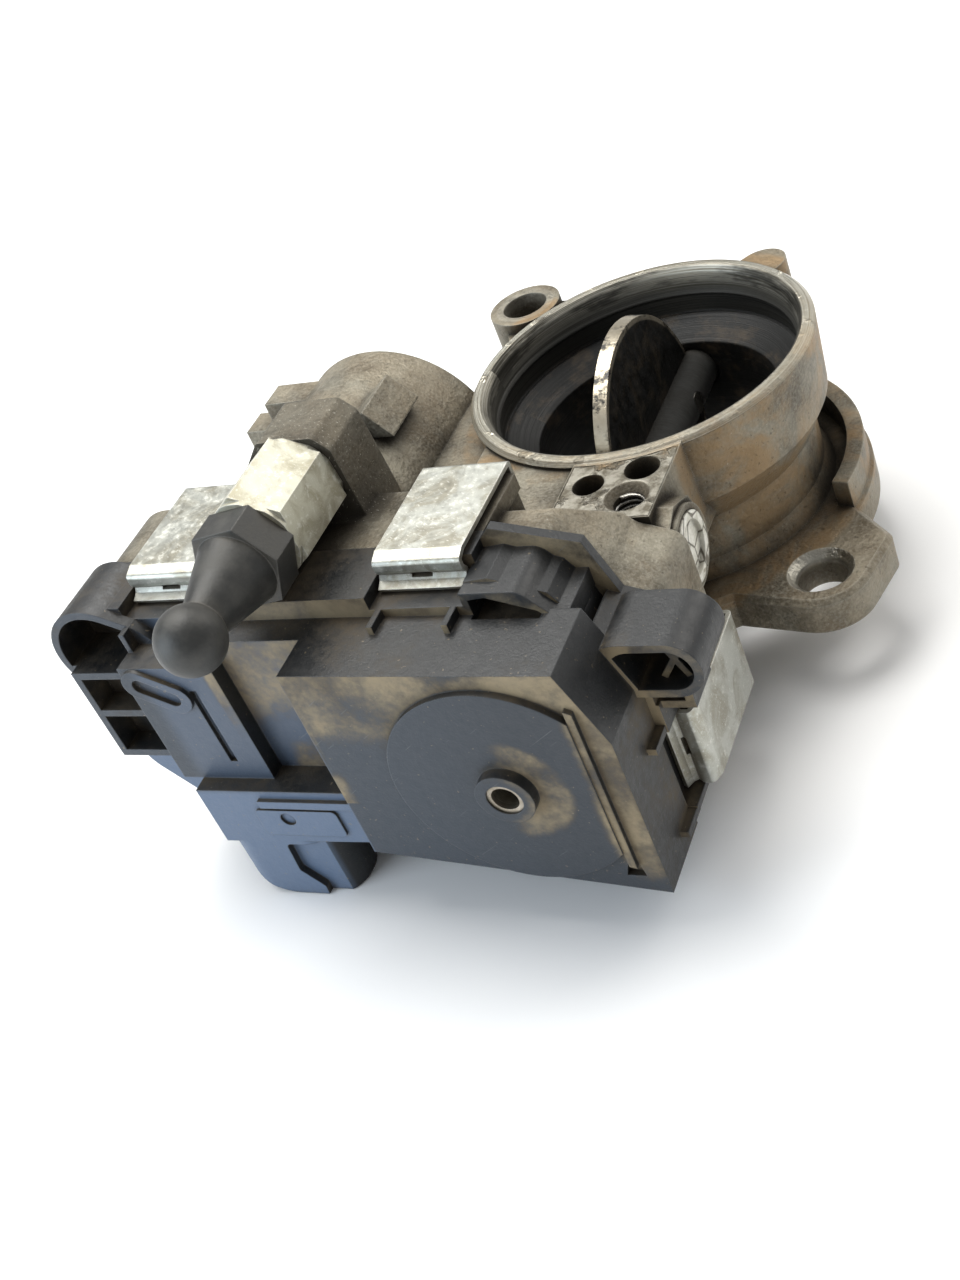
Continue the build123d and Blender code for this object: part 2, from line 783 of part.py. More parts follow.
def motor_pinion():
    face = gear_face(pinion_teeth, 0) - Circle(motor_shaft_radius)
    return extrude(front_plane(pinion_start, motor_x, gear_z) * face, pinion_width)


def motor_front_plate():
    start = tray_floor - motor_plate_thickness
    plate = extrude(front_plane(start, motor_x, gear_z) * motor_plate_face(), motor_plate_thickness)
    plate += rod(5.0, start, tray_floor + 2.5, motor_x, gear_z)
    plate -= rod(motor_shaft_radius + running_clearance, start - 1, tray_floor + 4, motor_x, gear_z)
    for x, z in motor_screw_places():
        plate -= rod(1.6, start - 1, tray_floor + 1, x, z)
    return plate


def motor_screws():
    screws = []
    for x, z in motor_screw_places():
        head = rod(2.8, tray_floor, tray_floor + 1.9, x, z)
        head = fillet(head.faces().sort_by(Axis.Y)[0].edges(), 0.6)
        for turn in (0, 90):
            cross = Rot(0, 0, turn) * Rectangle(3.2, 0.7)
            head -= extrude(front_plane(tray_floor + 1.0, x, z) * cross, 1.5)
        screws.append(head + rod(1.25, tray_back - 3.4, tray_floor, x, z))
    return Compound(children=screws)


def brush_card():
    """Insulating ring with two brushes that bear on the commutator, inside the can's mouth."""
    outer = motor_can_radius - motor_can_wall
    card = tube(outer, 9.0, 43.0, 45.0, motor_x, gear_z)
    for side in (-1, 1):
        near = motor_x + side * 4.4
        far = motor_x + side * 10.0
        card += block(min(near, far), max(near, far), 43.0, 38.5, gear_z - 2, gear_z + 2)
        card += block(min(near, far) + 0.8, max(near, far), 43.5, 42.5, gear_z - 2, gear_z + 2)
    return card


def wave_washer():
    """Spring washer that holds the motor against its plate, at the barrel's blind end."""
    return tube(11.0, 8.0, motor_rear + 0.3, motor_rear + 1.0, motor_x, gear_z)


# ---------------------------------------------------------------- cover

def raised_part(face, low, high):
    """A cover section drawn from the front, between two distances."""
    return extrude(front_plane(low) * face, high - low)


def rect(x0, x1, z0, z1):
    """A rectangle by its edges."""
    return Pos((x0 + x1) / 2, (z0 + z1) / 2) * Rectangle(x1 - x0, z1 - z0)


def clip_pad(back, front):
    """Raised seat under a clip, between two distances."""
    half = clip_width / 2 + 1.0
    return block(-half, half, front, back, -clip_raise - 1.0, 0)


def at_clip(place, shape):
    """Move a shape made for a clip on a level top edge at x = 0, z = 0 to one clip's place."""
    x, z, direction = place
    return Pos(x, 0, z) * Rot(0, 90 - direction, 0) * shape


def cover_solid():
    top = panel_top
    front = rim_front
    inner = cover_wall
    # rim and the raised sections
    body = raised_part(rim_outline(), seam, front)
    body += raised_part(panel_outline(), front - 1, panel_front)
    body += raised_part(rect(strip_left, panel_left + 1, step_height, top), front - 1, strip_front)
    body += raised_part(rect(left_block_left, strip_left, step_height, top - 2.5), front - 1, left_front)
    lower = make_face(
        Polyline(
            (block_left, step_height),
            (block_left, 5.0),
            (panel_left + 1, panel_bottom_left),
            (panel_left + 1, step_height),
            close=True,
        )
    )
    body += raised_part(lower, front - 1, block_front)
    # disc over the throttle shaft with its straight side, and its boss
    disc = Circle(disc_radius) & rect(-40, ridge_x, -40, 40)
    disc = Pos(0, gear_z) * disc
    disc &= panel_outline(0.8)
    body += raised_part(disc, panel_front - 0.5, disc_front)
    body += rod(boss_radius, disc_front - 0.5, boss_front, 0, gear_z)
    # webbed strip down the left edge
    strip = rect(rim_left, left_block_left + 1, edge_strip_low, 40.0)
    body += raised_part(strip, front - 1, front_of_lugs + 2.0)
    # inside
    body -= raised_part(rim_outline(rim_wall), seam - 1, front - 2.2)
    body -= raised_part(panel_outline(inner), seam, panel_front - inner)
    strip_inside = rect(strip_left - inner, panel_left + 4, step_height + inner, top - inner)
    body -= raised_part(strip_inside, seam, strip_front - inner)
    left_inside = rect(
        left_block_left + inner, strip_left - inner, step_height + inner, top - 2.5 - inner
    )
    body -= raised_part(left_inside, seam, left_front - inner)
    # walls behind the hood's opening and the left lug's hollow
    body += raised_part(rect(-4.4, 12.0, 40.6, 44.0), seam, rim_front)
    lug_wall = rim_outline(rim_wall - 0.5) & rect(-90, -64.5, 36.2, 60)
    body += raised_part(lug_wall, left_lug_floor - 1.8, rim_front)
    # walls behind the clip pockets
    for place in clip_places:
        half = clip_width / 2 + 2.5
        backing = block(-half, half, rim_front, clip_seat - 1.8, -7.0, -clip_raise)
        body += at_clip(place, backing) + at_clip(place, clip_pad(seam, clip_seat))
    body = with_lugs_and_hood(body)
    # sockets for the idler pin and the cover bushing
    body += rod(5.0, large_start + idler_large_width + 1.4, strip_front - 1.0, idler_x, gear_z)
    body -= rod(idler_pin_radius + running_clearance, tray_floor, pin_end + 0.3, idler_x, gear_z)
    body -= rod(bushing_radius, boss_front - 5.0, boss_front + 1, 0, gear_z)
    for cut in cover_cuts():
        body -= cut
    for rib in cover_ribs():
        body += rib
    body += connector()
    body -= connector_socket()
    return body - spacer_room()


def with_lugs_and_hood(body):
    """Adds the hood on the top edge and the two open lugs, each with a floor behind its hollow."""
    # hood: a back rim, an arched roof in front of it and the opening under the roof
    rim = make_face(Polyline(*hood_rim_points, close=True))
    roof = make_face(Polyline(*hood_roof_points, close=True))
    body += raised_part(rim, seam, seam + hood_rim_width)
    body += raised_part(fillet(roof.vertices().sort_by(Axis.X)[-2:], 1.5), seam, hood_front)
    opening = make_face(Polyline(*hood_opening_points, close=True))
    body -= raised_part(opening, seam + 2.2, rim_front + 1)
    # right lug with its webs and the bracket below it
    right = hull_of((right_lug_x - 7.0, right_lug_height, 5.0), (right_lug_x, right_lug_height, 5.0))
    right_hollow = hull_of((right_lug_x - 5.5, right_lug_height, 3.6), (right_lug_x, right_lug_height, 3.6))
    body += raised_part(right, seam + 2.0, front_of_lugs)
    bracket = rect(panel_right - 1.0, right_lug_x + 0.6, 24.4, 31.5)
    body += raised_part(bracket, seam + 3.0, front_of_lugs - 3.0)
    body -= raised_part(right_hollow - panel_outline(-0.6), seam + 6.0, front_of_lugs + 1)
    pocket = rect(panel_right + 1.2, right_lug_x - 0.8, 25.8, 28.6)
    body -= raised_part(pocket, front_of_lugs - 7.0, front_of_lugs)
    for turn in (-35, 25):
        web = Pos(right_lug_x, right_lug_height) * Rot(0, 0, turn) * Rectangle(1.0, 8.4)
        body += raised_part(web, seam + 5.0, front_of_lugs - 2.6)
    # left lug, deep and open to the front
    left = hull_of((-74.0, 40.0, 9.6), (-70.0, 38.0, 9.6))
    left_hollow = hull_of((-74.0, 40.0, 8.2), (-71.0, 38.5, 8.2))
    body += raised_part(left, seam + 1.0, front_of_lugs)
    body -= raised_part(left_hollow & rect(-90, -66.6, 38.0, 60), left_lug_floor, front_of_lugs + 3)
    return body


def cover_cuts():
    """Clip pockets, the open pockets down the left side, the grooves and the small recesses."""
    cuts = []
    for place in clip_places:
        half = clip_width / 2 + 0.5
        pocket = block(-half, half, rim_front, clip_seat, -clip_pocket_depth, 20)
        cuts.append(at_clip(place, pocket))
    # open pockets down the left edge
    for low, high in ((29.4, 36.6), (edge_strip_low + 1.4, 28.0)):
        cuts.append(block(rim_left + 1.4, left_block_left - 1.4, 90, rim_front - 0.8, low, high))
    # groove beside the left block's front
    cuts.append(block(-54.2, -52.8, 90, left_front - 0.8, step_height + 4.0, 37.5))
    # triangular recess at the lower right corner and its neighbour
    recess = make_face(Polyline((12.4, 3.0), (15.6, 3.0), (14.6, 9.5), close=True))
    cuts.append(raised_part(recess, panel_front - 1.2, panel_front + 1))
    # countersunk dimple of the lower block
    cuts.append(rod(1.4, block_front - 1.0, block_front + 1, -46.0, 11.5))
    return cuts


def cover_ribs():
    """Ridge beside the disc, pocket ribs, the slotted ring and the lower block's ledge."""
    ribs = []
    ridge = make_face(
        Polyline(
            (ridge_x, 38.2), (ridge_x + 1.2, 37.6), (ridge_x + 1.2, 5.6), (ridge_x, 6.0), close=True
        )
    )
    ribs.append(raised_part(ridge, panel_front - 0.5, panel_front + 0.9))
    for place, low in zip(clip_places[:2], (panel_top - 3.0, panel_top - 0.5)):
        for side in (-1, 1):
            edge = place[0] + side * 6.4
            high = place[1] - clip_pocket_depth
            ribs.append(block(edge - 0.5, edge + 0.5, rim_front + 4.0, rim_front - 1.0, low, high))
    ring = hull_of((-63.0, 39.5, 2.9), (-57.0, 36.2, 2.9)) - hull_of((-62.6, 39.3, 1.4), (-57.4, 36.4, 1.4))
    ribs.append(raised_part(ring, left_front - 3.0, left_front + 0.8))
    low = step_height - 3.2
    high = step_height - 1.6
    ribs.append(block(-50.0, panel_left, block_front + 0.8, block_front - 1, low, high))
    plate = rounded_face([(-52.0, 7.5), (-52.0, 13.5), (-36.0, 13.5), (-36.0, 7.5)], 1.0)
    ribs.append(raised_part(plate - Pos(-46.0, 11.5) * Circle(1.4), block_front - 0.5, block_front + 0.5))
    for side in (-1, 1):
        level = clip_places[2][1] + side * (clip_width / 2 + 1.4)
        low = level - 0.6
        high = level + 0.6
        ribs.append(
            block(panel_right - 0.5, rim_right - 0.2, rim_front + 5.0, rim_front - 1.0, low, high)
        )
    return ribs


def connector_face(inset=0.0):
    """The connector shroud seen from below: a rounded box."""
    width = connector_right - connector_left - 2 * inset
    depth = block_front - connector_back - 2 * inset
    centre = Pos((connector_left + connector_right) / 2, -(block_front + connector_back) / 2)
    return centre * RectangleRounded(width, depth, 5.5 - inset)


def connector():
    """Shroud that points down from the lower left block."""
    shroud = Pos(0, 0, connector_low) * extrude(connector_face(), 15.0 - connector_low)
    # its front wall's lower corner is rounded, and the right end steps back with an S curve
    trim = raised_part(
        rect(connector_left - 1, connector_left + 10, connector_low - 1, connector_low + 10)
        - Pos(connector_left + 10, connector_low + 10) * Circle(10.0),
        50,
        90,
    )
    return shroud - trim


def connector_socket():
    """The open inside of the connector and the latch recess at its right end."""
    face = connector_face(connector_wall)
    inside = Pos(0, 0, connector_low - 1) * extrude(face, socket_floor - connector_low + 1)
    window = make_face(
        Polyline(
            (-47.2, -9.0),
            (-47.0, -6.0),
            (-50.4, -2.0),
            (-50.0, 4.6),
            (-38.0, 4.6),
            (-38.0, -9.0),
            close=True,
        )
    )
    window = raised_part(fillet(window.vertices(), 0.9), block_front - latch_recess_depth, block_front + 1)
    return inside + window


def cover_gasket():
    """Rubber seal in the seam between the tray's rim and the cover."""
    face = rim_outline(0.9) - rim_outline(2.1)
    return extrude(front_plane(seam - 0.8) * face, 1.6)


def gasket_groove():
    """The groove that holds the gasket, half in each rim."""
    face = rim_outline(0.9) - rim_outline(2.1)
    return extrude(front_plane(seam - 0.8) * face, 1.6)


def cover_bushing():
    ring = tube(bushing_radius, bushing_hole_radius, boss_front - 5.0, boss_front - 0.3, 0, gear_z)
    return ring


def sensor_board():
    """Board behind the panel with the angle sensor over the magnet and a lead frame tab."""
    board = rounded_face([(-13, 8), (-13, 40), (13, 40), (13, 8)], 2.0)
    start = panel_front - cover_wall - 2.1
    solid = raised_part(board, start, start + 1.6)
    solid += rod(3.4, start - 1.0, start + 0.5, 0, gear_z)
    return solid


def connector_terminals():
    """Six blades that stand in the connector."""
    blades = []
    for row in range(2):
        for number in range(3):
            x = (connector_left + connector_right) / 2 + (number - 1) * 5.0
            y = -(block_front + connector_back) / 2 + (row - 0.5) * 4.2
            blade = Pos(x, y, connector_low + 4.0 + blade_length / 2) * Box(2.2, 0.7, blade_length)
            blades.append(blade)
    return Compound(children=blades)


# ---------------------------------------------------------------- clips and fittings

def clip():
    """A sprung steel clip for a level top edge at z = 0: flat back, bulge, groove and flared lip."""
    lift = clip_lift
    back = tray_back - 0.35
    line = [
        (back - clip_thickness, -4.0),
        (back - clip_thickness, lift + clip_thickness),
        (clip_reach - 1.2, lift + clip_thickness),
        (clip_reach + 0.6, lift + 0.1),
        (clip_reach + 0.6, -0.9),
        (clip_reach - 0.2, -2.0),
        (clip_reach + 0.6, -3.0),
        (clip_reach + 2.0, -clip_lip_drop),
    ]
    centre = [Vector(-y, z) for y, z in line]
    route = FilletPolyline(*centre, radius=0.45)
    strip = trace(route, line_width=clip_thickness)
    plane = Plane(origin=(-clip_width / 2, 0, 0), x_dir=(0, 1, 0), z_dir=(1, 0, 0))
    solid = extrude(plane * strip, clip_width)
    return solid - block(-1.8, 1.8, clip_reach + 5, clip_reach - 3, -2.4, -1.5)


def retaining_clips():
    return Compound(children=[at_clip(place, clip()) for place in clip_places])


def passage_plug():
    plane = Plane(origin=(passage_end - 6.0, passage_y, passage_height), z_dir=(1, 0, 0))
    disc = extrude(plane * Circle(passage_plug_radius), 6.3)
    dish = plane.offset(6.3 - 0.8)
    return disc - extrude(dish * Circle(passage_plug_radius - 1.4), 2.0)


def hex_spacer():
    """Zinc-plated spacer screwed into the post, with chamfered ends and a male thread."""
    end = stud_post_front + spacer_length
    seat = front_plane(stud_post_front, stud_x, stud_height)
    solid = extrude(seat * hexagon(spacer_flats, spacer_turn), spacer_length)
    round_limit = extrude(seat * Circle(spacer_flats / 2 + 0.3), spacer_length)
    middle = rod(20, stud_post_front + 0.8, end - 0.8, stud_x, stud_height)
    solid = (solid & middle) + (solid & round_limit)
    solid += rod(stud_thread_radius, stud_post_front - 8.5, stud_post_front, stud_x, stud_height)
    return solid - rod(3.0, stud_post_front + 6.0, end + 1, stud_x, stud_height)


def ball_stud():
    """Black stud: hexagon, tapered neck and ball, with its thread in the spacer."""
    start = stud_post_front + spacer_length
    solid = rod(3.0, start - 8.0, start, stud_x, stud_height)
    seat = front_plane(start, stud_x, stud_height)
    solid += extrude(seat * hexagon(stud_hex_flats, stud_hex_turn), stud_hex_length)
    neck_start = start + stud_hex_length
    neck = front_plane(neck_start, stud_x, stud_height) * Circle(6.6)
    tip = front_plane(ball_distance - 4.0, stud_x, stud_height) * Circle(3.6)
    solid += loft([neck, tip])
    solid += rod(3.6, ball_distance - 4.5, ball_distance, stud_x, stud_height)
    return solid + Pos(stud_x, -ball_distance, stud_height) * Sphere(ball_radius)


# ---------------------------------------------------------------- write every node

rear_bearing_start = rear_seat - seal_width - rear_bearing_width

nodes = {
    "housing": housing_solid() - gasket_groove(),
    "throttle_shaft": throttle_shaft(),
    "throttle_plate": throttle_plate(),
    "plate_screws": plate_screws(),
    "shaft_seal_front": shaft_bearing(
        shaft_radius + running_clearance, bearing_outer_radius, front_seal_start, seal_width, False
    ),
    "shaft_bearing_front": shaft_bearing(
        shaft_radius + running_clearance,
        bearing_outer_radius,
        front_seal_start + seal_width,
        bearing_width,
        True,
    ),
    "shaft_seal_rear": shaft_bearing(
        shaft_radius + running_clearance,
        rear_bearing_outer_radius,
        rear_seat - seal_width,
        seal_width,
        False,
    ),
    "shaft_bearing_rear": shaft_bearing(
        shaft_radius + running_clearance,
        rear_bearing_outer_radius,
        rear_bearing_start,
        rear_bearing_width,
        True,
    ),
    "shaft_end_cap": rod(
        rear_bearing_outer_radius, -rear_boss_end, -rear_boss_end + rear_cap_thickness, 0, shaft_height
    ),
    "return_spring": return_spring(),
    "sector_gear": sector_gear(),
    "position_magnet": position_magnet(),
    "idler_gear": idler_gear(),
    "idler_pin": idler_pin(),
    "motor_can": motor_can(),
    "motor_magnets": motor_magnets(),
    "motor_armature": motor_armature(),
    "motor_commutator": motor_commutator(),
    "motor_shaft": motor_shaft(),
    "motor_pinion": motor_pinion(),
    "motor_front_plate": motor_front_plate(),
    "motor_screws": motor_screws(),
    "brush_card": brush_card(),
    "wave_washer": wave_washer(),
    "gear_cover": cover_solid() - gasket_groove(),
    "cover_gasket": cover_gasket(),
    "cover_bushing": cover_bushing(),
    "sensor_board": sensor_board(),
    "connector_terminals": connector_terminals(),
    "retaining_clips": retaining_clips(),
    "passage_plug": passage_plug(),
    "hex_spacer": hex_spacer(),
    "ball_stud": ball_stud(),
}

for name, shape in nodes.items():
    save(name, shape)
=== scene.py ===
import json
import math

import bmesh
import bpy
from mathutils import Matrix, Vector


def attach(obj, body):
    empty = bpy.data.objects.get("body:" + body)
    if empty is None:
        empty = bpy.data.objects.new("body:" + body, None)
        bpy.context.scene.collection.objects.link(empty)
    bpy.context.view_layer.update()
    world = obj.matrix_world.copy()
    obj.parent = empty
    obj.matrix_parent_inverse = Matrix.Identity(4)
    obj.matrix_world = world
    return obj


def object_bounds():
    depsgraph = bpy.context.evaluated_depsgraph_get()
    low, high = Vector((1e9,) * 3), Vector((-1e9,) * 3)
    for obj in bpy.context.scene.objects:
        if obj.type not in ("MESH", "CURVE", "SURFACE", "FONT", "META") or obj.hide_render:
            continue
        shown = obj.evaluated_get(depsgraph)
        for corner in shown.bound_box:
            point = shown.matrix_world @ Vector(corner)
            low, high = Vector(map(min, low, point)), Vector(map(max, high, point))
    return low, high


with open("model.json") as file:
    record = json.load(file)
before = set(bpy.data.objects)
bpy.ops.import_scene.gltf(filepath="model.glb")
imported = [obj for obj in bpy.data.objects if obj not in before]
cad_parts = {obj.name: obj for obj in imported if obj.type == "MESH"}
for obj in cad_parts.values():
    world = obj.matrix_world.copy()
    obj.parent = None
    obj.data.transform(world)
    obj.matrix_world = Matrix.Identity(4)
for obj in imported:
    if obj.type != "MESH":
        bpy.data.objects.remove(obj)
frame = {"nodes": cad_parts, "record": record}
nodes = frame["nodes"]
cad_low, cad_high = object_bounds()

MM = 0.001
# the mounting face stands at zero; heights below are measured 3.5 mm under it
FACE = 3.5


# ------------------------------------------------------------------ shader helpers

class Shade:
    """One procedural material, with short calls for its nodes. Lengths are in millimetres."""

    def __init__(self, name, metallic=0.0, roughness=0.5, **sockets):
        self.material = bpy.data.materials.new(name)
        self.material.use_nodes = True
        self.tree = self.material.node_tree
        self.tree.nodes.clear()
        output = self.node("OutputMaterial")
        self.shader = self.node("BsdfPrincipled")
        self.link(self.shader.outputs[0], output.inputs[0])
        self.put(self.shader.inputs["Metallic"], metallic)
        self.put(self.shader.inputs["Roughness"], roughness)
        for socket, value in sockets.items():
            self.put(self.shader.inputs[socket.replace("_", " ")], value)
        coords = self.node("TexCoord")
        scale = self.node("VectorMath", operation="SCALE")
        self.link(coords.outputs["Object"], scale.inputs[0])
        scale.inputs["Scale"].default_value = 1 / MM
        self.point = scale.outputs[0]
        self.facing = coords.outputs["Normal"]
        parts = self.node("SeparateXYZ")
        self.link(self.point, parts.inputs[0])
        self.x, self.y, level = parts.outputs
        self.z = self.math("ADD", level, FACE)
        sides = self.node("SeparateXYZ")
        self.link(self.facing, sides.inputs[0])
        self.nx, self.ny, self.nz = sides.outputs

    def node(self, kind, **settings):
        made = self.tree.nodes.new("ShaderNode" + kind)
        for key, value in settings.items():
            setattr(made, key, value)
        return made

    def link(self, source, target):
        self.tree.links.new(source, target)

    def put(self, socket, value):
        """Link a socket to another, or set its own value."""
        if isinstance(value, bpy.types.NodeSocket):
            self.link(value, socket)
        elif hasattr(value, "__len__") and len(value) == 3 and socket.type == "RGBA":
            socket.default_value = (*value, 1.0)
        else:
            socket.default_value = value

    def math(self, operation, first, second=0.0, third=None, clamp=False):
        made = self.node("Math", operation=operation, use_clamp=clamp)
        self.put(made.inputs[0], first)
        self.put(made.inputs[1], second)
        if third is not None:
            self.put(made.inputs[2], third)
        return made.outputs[0]

    def mul(self, *values):
        total = values[0]
        for value in values[1:]:
            total = self.math("MULTIPLY", total, value)
        return total

    def most(self, *values):
        total = values[0]
        for value in values[1:]:
            total = self.math("MAXIMUM", total, value)
        return total

    def add(self, *values):
        total = values[0]
        for value in values[1:]:
            total = self.math("ADD", total, value)
        return total

    def less(self, value):
        """One minus a value."""
        return self.math("SUBTRACT", 1.0, value)

    def step(self, value, start, end, low=0.0, high=1.0):
        """A smooth step from low to high between two values."""
        made = self.node("MapRange", interpolation_type="SMOOTHSTEP")
        self.put(made.inputs["Value"], value)
        for socket, number in zip(made.inputs[1:5], (start, end, low, high)):
            self.put(socket, number)
        return made.outputs[0]

    def window(self, value, low, high, soft):
        """One between two values, falling to nothing over soft on either side."""
        rise = self.step(value, low - soft, low)
        fall = self.step(value, high, high + soft, 1.0, 0.0)
        return self.mul(rise, fall)

    def distance(self, a, b, centre_a=0.0, centre_b=0.0):
        """Distance from an axis, from two coordinates."""
        da = self.math("SUBTRACT", a, centre_a)
        db = self.math("SUBTRACT", b, centre_b)
        return self.math("SQRT", self.add(self.mul(da, da), self.mul(db, db)))

    def stretched(self, sx=1.0, sy=1.0, sz=1.0):
        made = self.node("VectorMath", operation="MULTIPLY")
        self.link(self.point, made.inputs[0])
        made.inputs[1].default_value = (sx, sy, sz)
        return made.outputs[0]

    def polar(self, around, along, per_turn=1.0):
        """Coordinates that wrap round the bore: radius, arc and height, each with its own scale."""
        angle = self.math("ARCTAN2", self.y, self.x)
        radius = self.distance(self.x, self.y)
        made = self.node("CombineXYZ")
        self.put(made.inputs[0], self.mul(radius, around))
        self.put(made.inputs[1], self.mul(angle, per_turn))
        self.put(made.inputs[2], self.mul(self.z, along))
        return made.outputs[0]

    def noise(self, size, detail=4.0, rough=0.5, at=None, warp=0.0):
        """Noise whose blotches are about size across."""
        made = self.node("TexNoise")
        self.link(at or self.point, made.inputs["Vector"])
        made.inputs["Scale"].default_value = 1 / size
        made.inputs["Detail"].default_value = detail
        made.inputs["Roughness"].default_value = rough
        made.inputs["Distortion"].default_value = warp
        return made.outputs["Fac"]

    def cells(self, size, feature="DISTANCE_TO_EDGE", at=None):
        made = self.node("TexVoronoi", feature=feature)
        self.link(at or self.point, made.inputs["Vector"])
        made.inputs["Scale"].default_value = 1 / size
        return made.outputs["Distance"]

    def scratches(self, width, length, direction=(1.0, 0.0, 0.0), share=0.62):
        """Thin bright lines along one direction: a mask."""
        turn = self.node("VectorRotate", rotation_type="EULER_XYZ")
        self.link(self.point, turn.inputs["Vector"])
        turn.inputs["Rotation"].default_value = direction
        made = self.node("VectorMath", operation="MULTIPLY")
        self.link(turn.outputs[0], made.inputs[0])
        made.inputs[1].default_value = (1 / length, 1 / width, 1 / width)
        noise = self.noise(1.0, 2.0, 0.5, made.outputs[0])
        return self.step(noise, share, share + 0.06)

    def crevice(self, reach, inside=False):
        """Nothing in the open, one in corners and hollows."""
        made = self.node("AmbientOcclusion", samples=6, only_local=False)
        made.inputs["Distance"].default_value = reach * MM
        made.inside = inside
        return self.less(made.outputs["AO"])

    def soft_edge(self, radius):
        """The normal with edges rounded over a radius."""
        made = self.node("Bevel", samples=4)
        made.inputs["Radius"].default_value = radius * MM
        return made.outputs[0]

    def worn_edge(self, radius, gain=6.0):
        """One along sharp edges, where the rounded normal turns away from the flat one."""
        flat = self.node("NewGeometry").outputs["Normal"]
        made = self.node("VectorMath", operation="DOT_PRODUCT")
        self.link(self.soft_edge(radius), made.inputs[0])
        self.link(flat, made.inputs[1])
        return self.math("MULTIPLY", self.less(made.outputs["Value"]), gain, clamp=True)

    def mix(self, share, first, second):
        made = self.node("Mix", data_type="RGBA")
        self.put(made.inputs[0], share)
        self.put(made.inputs[6], first)
        self.put(made.inputs[7], second)
        return made.outputs[2]

    def blend(self, share, first, second):
        made = self.node("Mix", data_type="FLOAT")
        self.put(made.inputs[0], share)
        self.put(made.inputs[2], first)
        self.put(made.inputs[3], second)
        return made.outputs[0]

    def colour(self, value):
        self.put(self.shader.inputs["Base Color"], value)

    def set(self, socket, value):
        self.put(self.shader.inputs[socket], value)

    def bump(self, height, depth, normal=None, strength=1.0):
        """A bump whose full height is depth."""
        made = self.node("Bump")
        made.inputs["Strength"].default_value = strength
        made.inputs["Distance"].default_value = depth * MM
        self.put(made.inputs["Height"], height)
        if normal is not None:
            self.link(normal, made.inputs["Normal"])
        return made.outputs[0]


# ------------------------------------------------------------------ colours, in linear light

CAST = (0.235, 0.215, 0.165)
CAST_DARK = (0.090, 0.078, 0.056)
OCHRE = (0.30, 0.20, 0.10)
# near-black for corners, hollows and pores: partly grime, partly painted shade
GRIME_AND_SHADE = (0.022, 0.017, 0.010)
SOOT = (0.004, 0.004, 0.0035)
SOOT_BROWN = (0.06, 0.042, 0.024)
PLASTIC = (0.012, 0.013, 0.014)
# painted sheen and reflection: bluish tints for the cover's front faces, laid over its black
# PLASTIC
PANEL_PAINTED_SHEEN = (0.023, 0.033, 0.047)
STRIP_PAINTED_SHEEN = (0.055, 0.076, 0.112)
BLOCK_PAINTED_REFLECTION = (0.090, 0.132, 0.205)
DUST = (0.31, 0.245, 0.15)
DUST_DARK = (0.095, 0.070, 0.040)

# places on the part, in millimetres, as the housing is drawn
RING_TOP = 40.5
BORE_RADIUS = 22.0
MOUTH_RADIUS = 28.8
SHAFT_HEIGHT = 22.5
BOLT_CIRCLE = 38.9
# each bolt hole: its angle, the height of its chamfer and how bright that is
BOLT_HOLES = ((-37.7, 10.0, 0.9), (142.3, RING_TOP - 1.0, 0.25))
DISC_RADIUS = 19.3
PANEL_LEFT = -31.0


